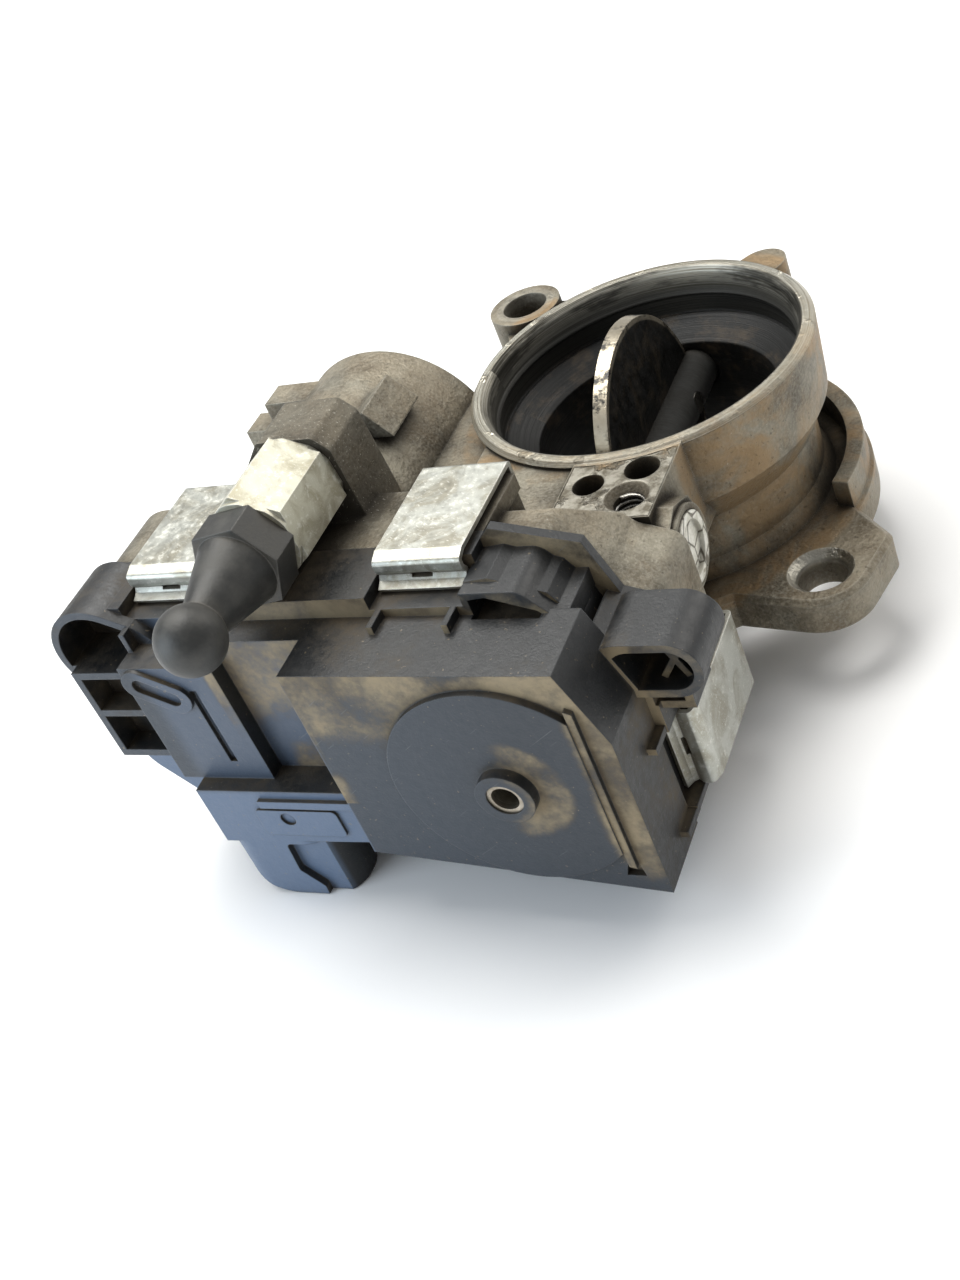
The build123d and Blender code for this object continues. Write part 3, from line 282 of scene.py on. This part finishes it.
def cast_housing():
    """Sand-grained casting, dusty and brown, machined where the pipe, plate and screws sit."""
    s = Shade("cast_housing", Specular_IOR_Level=0.35)
    radius = s.distance(s.x, s.y)
    blotch = s.noise(9.0, 5.0, 0.6)
    speckle = s.noise(0.55, 3.0, 0.6)
    pores = s.step(s.noise(0.9, 2.0, 0.7), 0.62, 0.74)
    corner = s.crevice(7.0)
    tight = s.crevice(2.2)
    edge = s.worn_edge(0.5)

    base = s.mix(s.step(blotch, 0.35, 0.7), CAST, CAST_DARK)
    base = s.mix(s.mul(s.step(speckle, 0.35, 0.75), 0.35), base, (0.48, 0.45, 0.38))
    # ochre dust, strongest on the band under the ring and on the neck
    band = s.mul(s.window(radius, 25.5, 34.5, 1.5), s.window(s.z, 9.0, 39.6, 2.0))
    rusty = s.step(s.noise(13.0, 5.0, 0.65, warp=0.6), 0.38, 0.62)
    rust = s.mul(rusty, s.add(0.16, s.mul(band, 0.62)))
    base = s.mix(rust, base, OCHRE)
    base = s.mix(s.mul(edge, 0.5), base, (0.52, 0.50, 0.43))
    nicks = s.most(
        s.scratches(0.3, 3.0, (0.4, 0.8, 0.3), 0.72),
        s.scratches(0.3, 2.4, (1.3, 0.1, 0.9), 0.73),
    )
    base = s.mix(s.mul(nicks, 0.6), base, (0.60, 0.58, 0.52))
    # partly grime, partly painted shade: corners and hollows darkened to near black
    grime_and_shade = s.add(s.mul(corner, 1.45), s.mul(tight, 1.0))
    grime_and_shade = s.math("MULTIPLY", grime_and_shade, s.step(blotch, 0.2, 0.6, 0.6, 1.25), clamp=True)
    base = s.mix(grime_and_shade, base, GRIME_AND_SHADE)
    base = s.mix(s.mul(pores, 0.5), base, GRIME_AND_SHADE)
    metal = s.blend(grime_and_shade, 0.55, 0.05)
    rough = s.blend(grime_and_shade, s.step(speckle, 0.3, 0.7, 0.44, 0.60), 0.85)

    # the post of the ball stud: darker, with a few long scratches
    post = s.mul(
        s.window(s.x, -50.0, -26.0, 1.0),
        s.step(s.z, 43.0, 47.0),
        s.window(s.y, -53.0, -38.0, 0.5),
    )
    lines = s.most(
        s.scratches(0.34, 16.0, (0.0, 0.9, 0.2), 0.66),
        s.scratches(0.28, 11.0, (0.0, -0.5, 0.1), 0.68),
    )
    base = s.mix(s.mul(post, 0.6), base, (0.068, 0.060, 0.046))
    base = s.mix(s.mul(post, lines, 0.7), base, (0.46, 0.44, 0.38))

    # turned faces: top of the ring, its lip and the recess
    round_at = s.polar(14.0, 14.0, 2.5)
    turned = s.noise(3.0, 3.0, 0.6, round_at)
    fine = s.noise(1.2, 2.0, 0.6, s.polar(22.0, 22.0, 6.0))
    ring = s.mul(s.window(radius, 27.6, 31.2, 0.15), s.step(s.z, RING_TOP - 0.95, RING_TOP - 0.75))
    away = s.step(s.add(s.mul(s.x, -0.6), s.mul(s.y, 0.8)), -26.0, 6.0, 0.30, 1.0)
    ring = s.mul(ring, s.step(s.noise(6.0, 4.0, 0.6), 0.30, 0.44), away)
    ring_colour = s.mix(s.step(turned, 0.35, 0.7), (0.60, 0.58, 0.50), (0.26, 0.225, 0.16))
    ring_colour = s.mix(s.step(fine, 0.62, 0.72), ring_colour, (0.78, 0.77, 0.72))
    throat = s.step(radius, BORE_RADIUS + 0.4, BORE_RADIUS + 0.2)
    mouth = s.mul(s.step(radius, MOUTH_RADIUS + 0.1, MOUTH_RADIUS - 0.05), s.step(s.z, 27.6, 27.9))
    inside = s.most(throat, mouth)
    wall = s.mul(inside, s.step(s.z, RING_TOP - 8.9, RING_TOP - 8.6))
    smudge = s.step(s.noise(9.0, 5.0, 0.7, s.polar(1.0, 2.6, 10.0)), 0.40, 0.60)
    # darker deeper into the mouth: partly soot, partly painted shade
    deep_soot_and_shade = s.step(s.z, RING_TOP - 0.6, RING_TOP - 5.0, 0.0, 1.0)
    wall_colour = s.mix(s.step(turned, 0.3, 0.7), (0.50, 0.48, 0.42), (0.16, 0.145, 0.11))
    wall_colour = s.mix(s.most(s.mul(smudge, 0.8), s.mul(deep_soot_and_shade, 0.93)), wall_colour, SOOT)
    streaks = s.step(s.noise(7.0, 5.0, 0.7, s.polar(1.0, 0.6, 12.0)), 0.52, 0.68)
    bore_colour = s.mix(s.mul(streaks, 0.75), SOOT, SOOT_BROWN)
    base = s.mix(ring, base, ring_colour)
    base = s.mix(inside, base, bore_colour)
    base = s.mix(wall, base, wall_colour)
    metal = s.blend(ring, metal, 0.95)
    metal = s.blend(inside, metal, 0.0)
    metal = s.blend(wall, metal, s.blend(deep_soot_and_shade, 0.9, 0.3))
    rough = s.blend(ring, rough, s.step(fine, 0.3, 0.7, 0.24, 0.42))
    rough = s.blend(inside, rough, s.step(turned, 0.3, 0.7, 0.42, 0.62))

    # machined pad round the three holes
    pad = s.mul(
        s.window(s.x, -1.6, 15.2, 0.3),
        s.window(s.y, -45.2, -28.0, 0.3),
        s.step(s.z, RING_TOP - 0.6, RING_TOP - 0.5),
        s.step(s.nz, 0.7, 0.9),
        s.step(radius, 31.2, 31.6),
    )
    worn = s.mul(pad, s.step(s.noise(5.0, 5.0, 0.65), 0.30, 0.46))
    stain = s.step(s.noise(3.0, 4.0, 0.7), 0.4, 0.65)
    base = s.mix(worn, base, s.mix(stain, (0.34, 0.32, 0.27), (0.13, 0.115, 0.085)))
    metal = s.blend(worn, metal, 0.85)
    rough = s.blend(worn, rough, 0.40)

    # chamfers of the bolt holes: the ear's is bright, the column's has dulled
    for angle, level, shine in BOLT_HOLES:
        turn = math.radians(angle)
        near = s.distance(s.x, s.y, BOLT_CIRCLE * math.cos(turn), BOLT_CIRCLE * math.sin(turn))
        cup = s.mul(s.step(near, 5.8, 5.65), s.step(s.z, level - 2.6, level - 1.4), shine)
        base = s.mix(cup, base, (0.36, 0.345, 0.30))
        metal = s.blend(cup, metal, 0.95)
        rough = s.blend(cup, rough, 0.30)

    s.colour(base)
    s.set("Metallic", metal)
    s.set("Roughness", rough)
    grain = s.add(s.mul(s.noise(0.8, 4.0, 0.65), 0.6), s.mul(s.noise(3.2, 3.0, 0.5), 0.4))
    smooth = s.most(ring, inside, worn)
    cast = s.mul(grain, s.less(s.mul(smooth, 0.92)))
    swell = s.mul(s.noise(8.0, 3.0, 0.5), s.less(smooth))
    normal = s.bump(swell, 0.9, s.soft_edge(0.6))
    normal = s.bump(cast, 0.36, normal)
    normal = s.bump(s.mul(turned, s.most(ring, inside)), 0.05, normal)
    s.set("Normal", normal)
    return s.material


def cover_plastic():
    """Black glass-filled plastic with a painted bluish sheen on its front faces, brown dust in its
    hollows.
    """
    s = Shade("cover_plastic", Specular_IOR_Level=0.5)
    corner = s.crevice(6.0)
    tight = s.crevice(1.8)
    edge = s.worn_edge(0.35)
    cloud = s.noise(16.0, 5.0, 0.62, warp=0.5)
    patch = s.noise(13.0, 4.0, 0.55, warp=0.5)
    fine = s.noise(1.6, 5.0, 0.72)
    front = s.step(s.math("MULTIPLY", s.ny, -1.0), 0.6, 0.9)
    upward = s.step(s.nz, 0.6, 0.9)
    beside = s.step(s.x, PANEL_LEFT + 0.4, PANEL_LEFT - 0.2)
    strip = s.mul(beside, s.step(s.x, -64.0, -60.0))
    block = s.mul(s.step(s.z, 18.0, 16.5), beside)
    hood = s.step(s.y, -72.4, -71.6)
    # painted sheen: front faces tinted blue, more to the left, strongest as a painted reflection on
    # the lower-left block
    panel = s.mul(front, s.less(hood), s.step(s.x, 18.0, -24.0, 0.55, 1.0))
    base = s.mix(panel, PLASTIC, PANEL_PAINTED_SHEEN)
    base = s.mix(s.mul(front, strip), base, STRIP_PAINTED_SHEEN)
    base = s.mix(s.mul(front, block), base, BLOCK_PAINTED_REFLECTION)
    base = s.mix(s.mul(edge, s.step(cloud, 0.3, 0.6, 0.2, 0.5)), base, (0.10, 0.11, 0.12))

    # dust: by the panel's top edge, round the boss, beside the ridge, on the strip, in corners
    boss = s.distance(s.x, s.z, 0.0, SHAFT_HEIGHT)
    off_disc = s.step(boss, DISC_RADIUS - 0.5, DISC_RADIUS + 0.5)
    round_boss = s.mul(s.window(boss, 4.6, 9.0, 3.0), s.step(s.x, -7.0, 3.5))
    by_ridge = s.mul(s.step(s.x, 11.0, 14.5), s.step(s.z, -3.0, 6.0))
    above = s.mul(s.step(s.z, 30.0, 42.0), s.window(s.x, PANEL_LEFT, 14.0, 3.0), off_disc)
    top_left = s.mul(s.window(s.x, PANEL_LEFT, -14.0, 4.0), s.step(s.z, 26.0, 35.0), off_disc)
    strip_top = s.mul(s.window(s.x, -49.0, -30.5, 1.5), s.step(s.z, 20.0, 34.0))
    strip_foot = s.mul(
        s.window(s.x, -42.0, -30.8, 4.0),
        s.window(s.z, 17.6, 21.5, 5.0),
        s.step(s.z, 17.3, 17.6),
    )
    low_edge = s.mul(s.step(s.z, 6.0, -3.0), s.window(s.x, PANEL_LEFT, 19.0, 3.0), 0.6)
    left_pockets = s.mul(s.step(s.x, -58.0, -66.0), s.step(s.z, 14.0, 22.0), 0.55)
    places = s.most(
        s.mul(front, round_boss, 0.80),
        s.mul(front, by_ridge, 0.95),
        s.mul(front, above, 0.95),
        s.mul(front, top_left, 0.85),
        s.mul(front, strip_top, 0.85),
        s.mul(front, strip_foot, 0.95),
        s.mul(front, low_edge),
        s.mul(left_pockets, 0.5),
        s.mul(upward, 0.36),
        s.mul(s.step(s.x, 16.6, 19.0), s.step(s.z, 33.0, 28.0), 0.5),
    )
    hollow = s.math("MULTIPLY", s.add(s.mul(corner, 0.9), s.mul(tight, 0.5)), 1.0, clamp=True)
    amount = s.add(s.mul(places, 0.95), s.mul(hollow, 0.50))
    for field, gain in ((cloud, 0.9), (patch, 0.9), (fine, 0.7)):
        amount = s.add(amount, s.mul(s.math("SUBTRACT", field, 0.5), gain))
    clean = s.most(s.mul(s.step(s.z, 43.0, 46.5), s.step(s.x, -6.0, -3.0)), s.step(s.x, 19.6, 21.0))
    amount = s.math("SUBTRACT", amount, s.mul(clean, 0.35))
    dust = s.mul(s.step(amount, 0.30, 1.10), 0.90)
    pale = s.mul(s.step(places, 0.30, 0.90), s.step(s.add(patch, s.mul(fine, 0.3)), 0.40, 0.84))
    tone = s.mix(pale, DUST_DARK, DUST)
    base = s.mix(dust, base, tone)
    # painted shade: the tightest crevices are darkened to near black
    crevice_shade = s.math("MULTIPLY", s.mul(tight, tight), 1.2, clamp=True)
    base = s.mix(s.mul(crevice_shade, 0.8), base, (0.006, 0.005, 0.004))
    specks = s.mul(s.step(s.noise(0.7, 2.0, 0.5), 0.69, 0.75), 0.45)
    base = s.mix(specks, base, (0.24, 0.19, 0.12))
    rubs = s.mul(s.scratches(0.3, 10.0, (0.3, 0.6, 0.2), 0.70), front, 0.35)
    base = s.mix(rubs, base, (0.16, 0.17, 0.17))
    s.colour(base)
    s.set("Roughness", s.blend(dust, s.step(fine, 0.3, 0.7, 0.36, 0.50), 0.88))
    grain = s.add(s.mul(s.noise(0.45, 3.0, 0.6), 0.5), s.mul(fine, 0.5))
    s.set("Normal", s.bump(grain, 0.09, s.soft_edge(0.35)))
    return s.material


def zinc(name, tint, stain, spotty, roughness, mottle, corner_grime_and_shade, metal):
    """Zinc-plated steel, mottled and stained, bright at its edges."""
    s = Shade(name)
    cloud = s.noise(mottle, 5.0, 0.65, warp=0.7)
    flake = s.noise(1.4, 4.0, 0.7)
    corner = s.crevice(3.5)
    edge = s.worn_edge(0.3)
    base = s.mix(s.step(cloud, 0.40, 0.66), tint, stain)
    base = s.mix(s.mul(s.step(flake, 0.56, 0.66), spotty), base, (0.86, 0.86, 0.80))
    lines = s.scratches(0.22, 5.0, (0.1, 0.2, 0.5), 0.64)
    base = s.mix(s.mul(lines, 0.4), base, (0.90, 0.89, 0.85))
    base = s.mix(s.mul(edge, 0.6), base, (0.88, 0.87, 0.82))
    # partly grime, partly painted shade: corners darkened brown
    grime_and_shade = s.math("MULTIPLY", s.mul(corner, corner_grime_and_shade), s.step(cloud, 0.2, 0.6, 0.8, 1.5), clamp=True)
    base = s.mix(grime_and_shade, base, (0.10, 0.08, 0.05))
    s.colour(base)
    s.set("Metallic", s.blend(grime_and_shade, metal, 0.15))
    clean = s.step(flake, 0.3, 0.7, roughness - 0.07, roughness + 0.10)
    s.set("Roughness", s.blend(grime_and_shade, clean, 0.8))
    s.set("Normal", s.bump(s.add(s.mul(flake, 0.5), s.mul(cloud, 0.5)), 0.05, s.soft_edge(0.22)))
    return s.material


def plug_metal():
    """Disc coated with a pale sealer that has cracked and flaked."""
    s = Shade("plug_metal")
    cracks = s.step(s.cells(4.2), 0.018, 0.055, 1.0, 0.0)
    flake = s.noise(2.4, 5.0, 0.7)
    base = s.mix(s.step(flake, 0.35, 0.65), (0.88, 0.86, 0.78), (0.62, 0.60, 0.51))
    peeled = s.step(s.noise(3.1, 4.0, 0.6, warp=1.0), 0.60, 0.66)
    base = s.mix(s.mul(peeled, 0.7), base, (0.33, 0.29, 0.21))
    base = s.mix(s.mul(cracks, 0.85), base, (0.10, 0.085, 0.06))
    # partly grime, partly painted shade in the crevices
    base = s.mix(s.mul(s.crevice(2.0), 0.9), base, (0.12, 0.10, 0.07))
    s.colour(base)
    s.set("Metallic", 0.25)
    s.set("Roughness", s.step(flake, 0.3, 0.7, 0.30, 0.55))
    height = s.add(s.mul(flake, 0.6), s.mul(cracks, -0.5))
    s.set("Normal", s.bump(height, 0.25, s.soft_edge(0.3)))
    return s.material


def black_stud():
    """Black phosphate with rubbed edges and a little dust."""
    s = Shade("black_stud")
    cloud = s.noise(5.0, 5.0, 0.65)
    edge = s.worn_edge(0.35)
    corner = s.crevice(4.0)
    base = s.mix(s.step(cloud, 0.35, 0.7), (0.034, 0.034, 0.032), (0.062, 0.060, 0.054))
    base = s.mix(s.mul(edge, 0.55), base, (0.20, 0.195, 0.18))
    base = s.mix(s.mul(corner, s.step(cloud, 0.3, 0.6), 0.6), base, (0.16, 0.13, 0.085))
    s.colour(base)
    s.set("Metallic", 0.25)
    s.set("Roughness", s.step(cloud, 0.3, 0.7, 0.40, 0.58))
    s.set("Normal", s.bump(s.noise(0.6, 3.0, 0.6), 0.04, s.soft_edge(0.35)))
    return s.material


def brass_plate():
    """Throttle plate: sooted faces, edge scraped bright by the bore."""
    s = Shade("brass_plate")
    reach = s.distance(s.y, s.z, 0.0, SHAFT_HEIGHT)
    rim = s.step(reach, BORE_RADIUS - 0.95, BORE_RADIUS - 0.5)
    sideways = s.step(s.math("ABSOLUTE", s.nx), 0.97, 0.90)
    patchy = s.step(s.noise(4.0, 4.0, 0.7), 0.36, 0.5)
    bright = s.mul(s.most(sideways, s.mul(rim, 0.5)), patchy)
    tan = s.mix(s.noise(1.2, 3.0, 0.6), (0.40, 0.34, 0.24), (0.62, 0.56, 0.45))
    film = s.mix(s.step(s.noise(6.0, 5.0, 0.7, warp=0.8), 0.45, 0.65), SOOT, (0.026, 0.020, 0.013))
    s.colour(s.mix(bright, film, tan))
    s.set("Metallic", s.blend(bright, 0.1, 0.85))
    s.set("Roughness", s.blend(bright, s.step(s.noise(2.0, 4.0, 0.6), 0.3, 0.7, 0.34, 0.6), 0.32))
    s.set("Normal", s.bump(s.noise(1.0, 4.0, 0.65), 0.05, s.soft_edge(0.25)))
    return s.material


def turned_steel(name, light, dark, roughness, soot):
    """Ground or drawn steel with fine lines round its own length."""
    s = Shade(name, Specular_IOR_Level=0.3)
    lines = s.noise(1.0, 3.0, 0.6, s.stretched(0.5, 6.0, 0.5))
    film = s.noise(5.0, 5.0, 0.65)
    base = s.mix(s.step(lines, 0.3, 0.7), light, dark)
    base = s.mix(s.mul(s.step(film, 0.42, 0.62), 0.35), base, (0.20, 0.17, 0.12))
    if soot:
        inside = s.mul(s.window(s.y, -24.0, 24.0, 0.6), soot)
        base = s.mix(inside, base, SOOT)
    # partly grime, partly painted shade: crevices darkened to near black
    base = s.mix(s.mul(s.crevice(2.5), 0.6), base, GRIME_AND_SHADE)
    s.colour(base)
    hard = s.step(lines, 0.3, 0.7, roughness - 0.06, roughness + 0.08)
    if soot:
        s.set("Metallic", s.blend(inside, 0.9, 0.0))
        s.set("Roughness", s.blend(inside, hard, 0.85))
    else:
        s.set("Metallic", 0.9)
        s.set("Roughness", hard)
    s.set("Normal", s.bump(lines, 0.02, s.soft_edge(0.18)))
    return s.material


def moulded(name, light, dark, roughness, speck, speck_colour):
    """Moulded plastic, rubber or laminate with a slight mottle and soft edges."""
    s = Shade(name)
    cloud = s.noise(4.0, 4.0, 0.6)
    fine = s.noise(0.5, 3.0, 0.6)
    base = s.mix(s.step(cloud, 0.3, 0.7), light, dark)
    if speck:
        base = s.mix(s.mul(s.step(fine, 0.60, 0.70), speck), base, speck_colour)
    # painted shade: crevices darkened to a quarter of the dark tone
    base = s.mix(s.mul(s.crevice(2.5), 0.55), base, tuple(0.25 * part for part in dark))
    s.colour(base)
    s.set("Roughness", s.step(fine, 0.3, 0.7, roughness - 0.05, roughness + 0.08))
    s.set("Normal", s.bump(fine, 0.03, s.soft_edge(0.2)))
    return s.material


def metal_plain(name, light, dark, roughness):
    """Stamped or sintered metal with a light tarnish."""
    s = Shade(name)
    cloud = s.noise(3.5, 5.0, 0.65)
    fine = s.noise(0.6, 3.0, 0.6)
    base = s.mix(s.step(cloud, 0.35, 0.68), light, dark)
    base = s.mix(s.mul(s.worn_edge(0.25), 0.5), base, tuple(min(1.0, 1.3 * part) for part in light))
    # painted shade: crevices darkened to a fifth of the dark tone
    base = s.mix(s.mul(s.crevice(2.0), 0.7), base, tuple(0.2 * part for part in dark))
    s.colour(base)
    s.set("Metallic", 0.9)
    s.set("Roughness", s.step(fine, 0.3, 0.7, roughness - 0.05, roughness + 0.1))
    s.set("Normal", s.bump(fine, 0.03, s.soft_edge(0.2)))
    return s.material


looks = {
    "cast_housing": cast_housing(),
    "cover_plastic": cover_plastic(),
    "plug_metal": plug_metal(),
    "black_stud": black_stud(),
    "brass_plate": brass_plate(),
}
# plated steel: tint, stain, share of bright specks, roughness, size of the mottle, grime and
# painted shade in corners, metal
for name, tint, stain, spotty, roughness, mottle, corner_grime_and_shade, metal in (
    ("clip_steel", (0.47, 0.475, 0.43), (0.31, 0.295, 0.24), 0.34, 0.38, 6.0, 0.8, 0.9),
    ("zinc_spacer", (0.60, 0.585, 0.48), (0.42, 0.39, 0.29), 0.42, 0.42, 4.5, 0.6, 0.78),
    ("cap_steel", (0.56, 0.54, 0.46), (0.36, 0.32, 0.24), 0.3, 0.42, 5.0, 0.8, 0.9),
):
    looks[name] = zinc(name, tint, stain, spotty, roughness, mottle, corner_grime_and_shade, metal)
# turned steel: light and dark lines, roughness, share of soot inside the bore
for name, light, dark, roughness, soot in (
    ("steel_shaft", (0.62, 0.61, 0.58), (0.40, 0.39, 0.36), 0.28, 0.93),
    ("bearing_steel", (0.66, 0.66, 0.66), (0.46, 0.46, 0.46), 0.22, 0.0),
    ("bushing_steel", (0.50, 0.45, 0.38), (0.30, 0.26, 0.20), 0.34, 0.0),
):
    looks[name] = turned_steel(name, light, dark, roughness, soot)
# stamped or sintered metal: clean, tarnished, roughness
for name, light, dark, roughness in (
    ("screw_steel", (0.20, 0.19, 0.17), (0.09, 0.08, 0.07), 0.42),
    ("spring_steel", (0.36, 0.36, 0.37), (0.22, 0.22, 0.22), 0.34),
    ("motor_steel", (0.60, 0.59, 0.56), (0.44, 0.43, 0.40), 0.36),
    ("lamination_steel", (0.32, 0.32, 0.34), (0.20, 0.18, 0.16), 0.45),
    ("commutator_copper", (0.72, 0.40, 0.24), (0.38, 0.20, 0.12), 0.32),
    ("pinion_brass", (0.76, 0.60, 0.30), (0.52, 0.40, 0.19), 0.33),
    ("terminal_brass", (0.74, 0.66, 0.46), (0.52, 0.44, 0.26), 0.30),
):
    looks[name] = metal_plain(name, light, dark, roughness)
# moulded pieces: light, dark, roughness, share and colour of specks
for name, light, dark, roughness, speck, speck_colour in (
    ("seal_rubber", (0.020, 0.020, 0.020), (0.012, 0.012, 0.012), 0.55, 0.0, None),
    ("gasket_rubber", (0.030, 0.045, 0.075), (0.018, 0.026, 0.045), 0.60, 0.0, None),
    ("gear_plastic", (0.70, 0.67, 0.58), (0.58, 0.54, 0.44), 0.48, 0.0, None),
    ("magnet_ferrite", (0.065, 0.065, 0.07), (0.035, 0.035, 0.04), 0.62, 0.4, (0.12, 0.12, 0.12)),
    ("card_plastic", (0.085, 0.06, 0.04), (0.05, 0.035, 0.02), 0.55, 0.0, None),
    ("board_laminate", (0.025, 0.14, 0.06), (0.012, 0.08, 0.035), 0.40, 0.3, (0.5, 0.45, 0.2)),
):
    looks[name] = moulded(name, light, dark, roughness, speck, speck_colour)

for subpart in frame["record"]["subparts"]:
    piece = nodes[subpart["node"]]
    piece.data.materials.clear()
    piece.data.materials.append(looks[subpart["material_slot"]])


# ------------------------------------------------------------------ thread in the pad's hole

def mesh_piece(name, verts, faces, look, body):
    """A mesh object with smooth faces that rides on a body."""
    mesh = bpy.data.meshes.new(name)
    mesh.from_pydata([tuple(value * MM for value in vert) for vert in verts], [], faces)
    mesh.validate()
    shape = bmesh.new()
    shape.from_mesh(mesh)
    bmesh.ops.recalc_face_normals(shape, faces=shape.faces)
    shape.to_mesh(mesh)
    shape.free()
    for face in mesh.polygons:
        face.use_smooth = True
    mesh.materials.append(looks[look])
    piece = bpy.data.objects.new(name, mesh)
    bpy.context.scene.collection.objects.link(piece)
    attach(piece, body)
    return piece


def thread(name, x, y, low, high, radius, pitch, depth, look, body):
    """A screw thread's ridge inside a hole: a closed triangular section wound along the wall."""
    per_turn = 28
    steps = int((high - low) / pitch * per_turn)
    section = ((radius + 0.02, -pitch * 0.42), (radius - depth, 0.0), (radius + 0.02, pitch * 0.42))
    verts = []
    faces = []
    for number in range(steps + 1):
        turn = 2 * math.pi * number / per_turn
        level = low + (high - low) * number / steps
        for reach, rise in section:
            verts.append((x + reach * math.cos(turn), y + reach * math.sin(turn), level + rise))
    for number in range(steps):
        here = 3 * number
        for corner in range(3):
            other = (corner + 1) % 3
            faces.append((here + corner, here + other, here + 3 + other, here + 3 + corner))
    faces.append((0, 2, 1))
    faces.append((3 * steps, 3 * steps + 1, 3 * steps + 2))
    return mesh_piece(name, verts, faces, look, body)


thread(
    "pad_thread_ridge",
    x=10.1,
    y=-40.0,
    low=32.0 - FACE,
    high=38.4 - FACE,
    radius=2.6,
    pitch=1.0,
    depth=0.42,
    look="steel_shaft",
    body="base",
)


# ------------------------------------------------------------------ floor, light and camera

def floor():
    """A pale sheet of paper under the part."""
    s = Shade("paper_floor", roughness=0.9)
    s.colour(s.mix(s.noise(40.0, 3.0, 0.5), (0.93, 0.93, 0.93), (0.95, 0.95, 0.95)))
    half = 3.0
    level = cad_low[2] - 0.0002
    mesh = bpy.data.meshes.new("paper_floor")
    sides = ((-half, -half), (half, -half), (half, half), (-half, half))
    corners = [(x, y, level) for x, y in sides]
    mesh.from_pydata(corners, [], [(0, 1, 2, 3)])
    mesh.materials.append(s.material)
    sheet = bpy.data.objects.new("paper_floor", mesh)
    bpy.context.scene.collection.objects.link(sheet)


floor()

middle = Vector(((cad_low[i] + cad_high[i]) / 2 for i in range(3)))


def lamp(name, direction, distance, size, power, tint):
    """A square soft light that faces the part's middle."""
    light = bpy.data.lights.new(name, "AREA")
    light.shape = "SQUARE"
    light.size = size
    light.energy = power
    light.color = tint
    holder = bpy.data.objects.new(name, light)
    away = Vector(direction).normalized()
    holder.location = middle + away * distance
    holder.rotation_euler = away.to_track_quat("Z", "Y").to_euler()
    bpy.context.scene.collection.objects.link(holder)


lamp("sky_light", (-0.35, 0.25, 1.0), 0.9, 0.7, 10.5, (1.0, 0.99, 0.96))
lamp("window_light", (-0.9, -0.9, 0.42), 0.8, 0.6, 4.5, (0.76, 0.88, 1.0))
lamp("rear_light", (0.6, 0.9, 0.75), 0.9, 0.6, 3.0, (1.0, 0.97, 0.92))

world = bpy.data.worlds.new("studio")
world.use_nodes = True
backdrop = world.node_tree.nodes["Background"]
backdrop.inputs["Color"].default_value = (0.96, 0.98, 1.0, 1.0)
backdrop.inputs["Strength"].default_value = 0.40
bpy.context.scene.world = world
bpy.context.scene.view_settings.view_transform = "Standard"

eye = bpy.data.cameras.new("photo_camera")
eye.lens = 47.8
eye.sensor_width = 36.0
eye.clip_start = 0.01
viewer = bpy.data.objects.new("photo_camera", eye)
right = Vector((0.8779, 0.3375, -0.3396))
up = Vector((0.0244, 0.6768, 0.7357))
back = Vector((0.4782, -0.6542, 0.5860))
pose = Matrix((right, up, back)).transposed().to_4x4()
pose.translation = Vector((0.1158, -0.2355, 0.1825))
viewer.matrix_world = pose
bpy.context.scene.collection.objects.link(viewer)
bpy.context.scene.camera = viewer
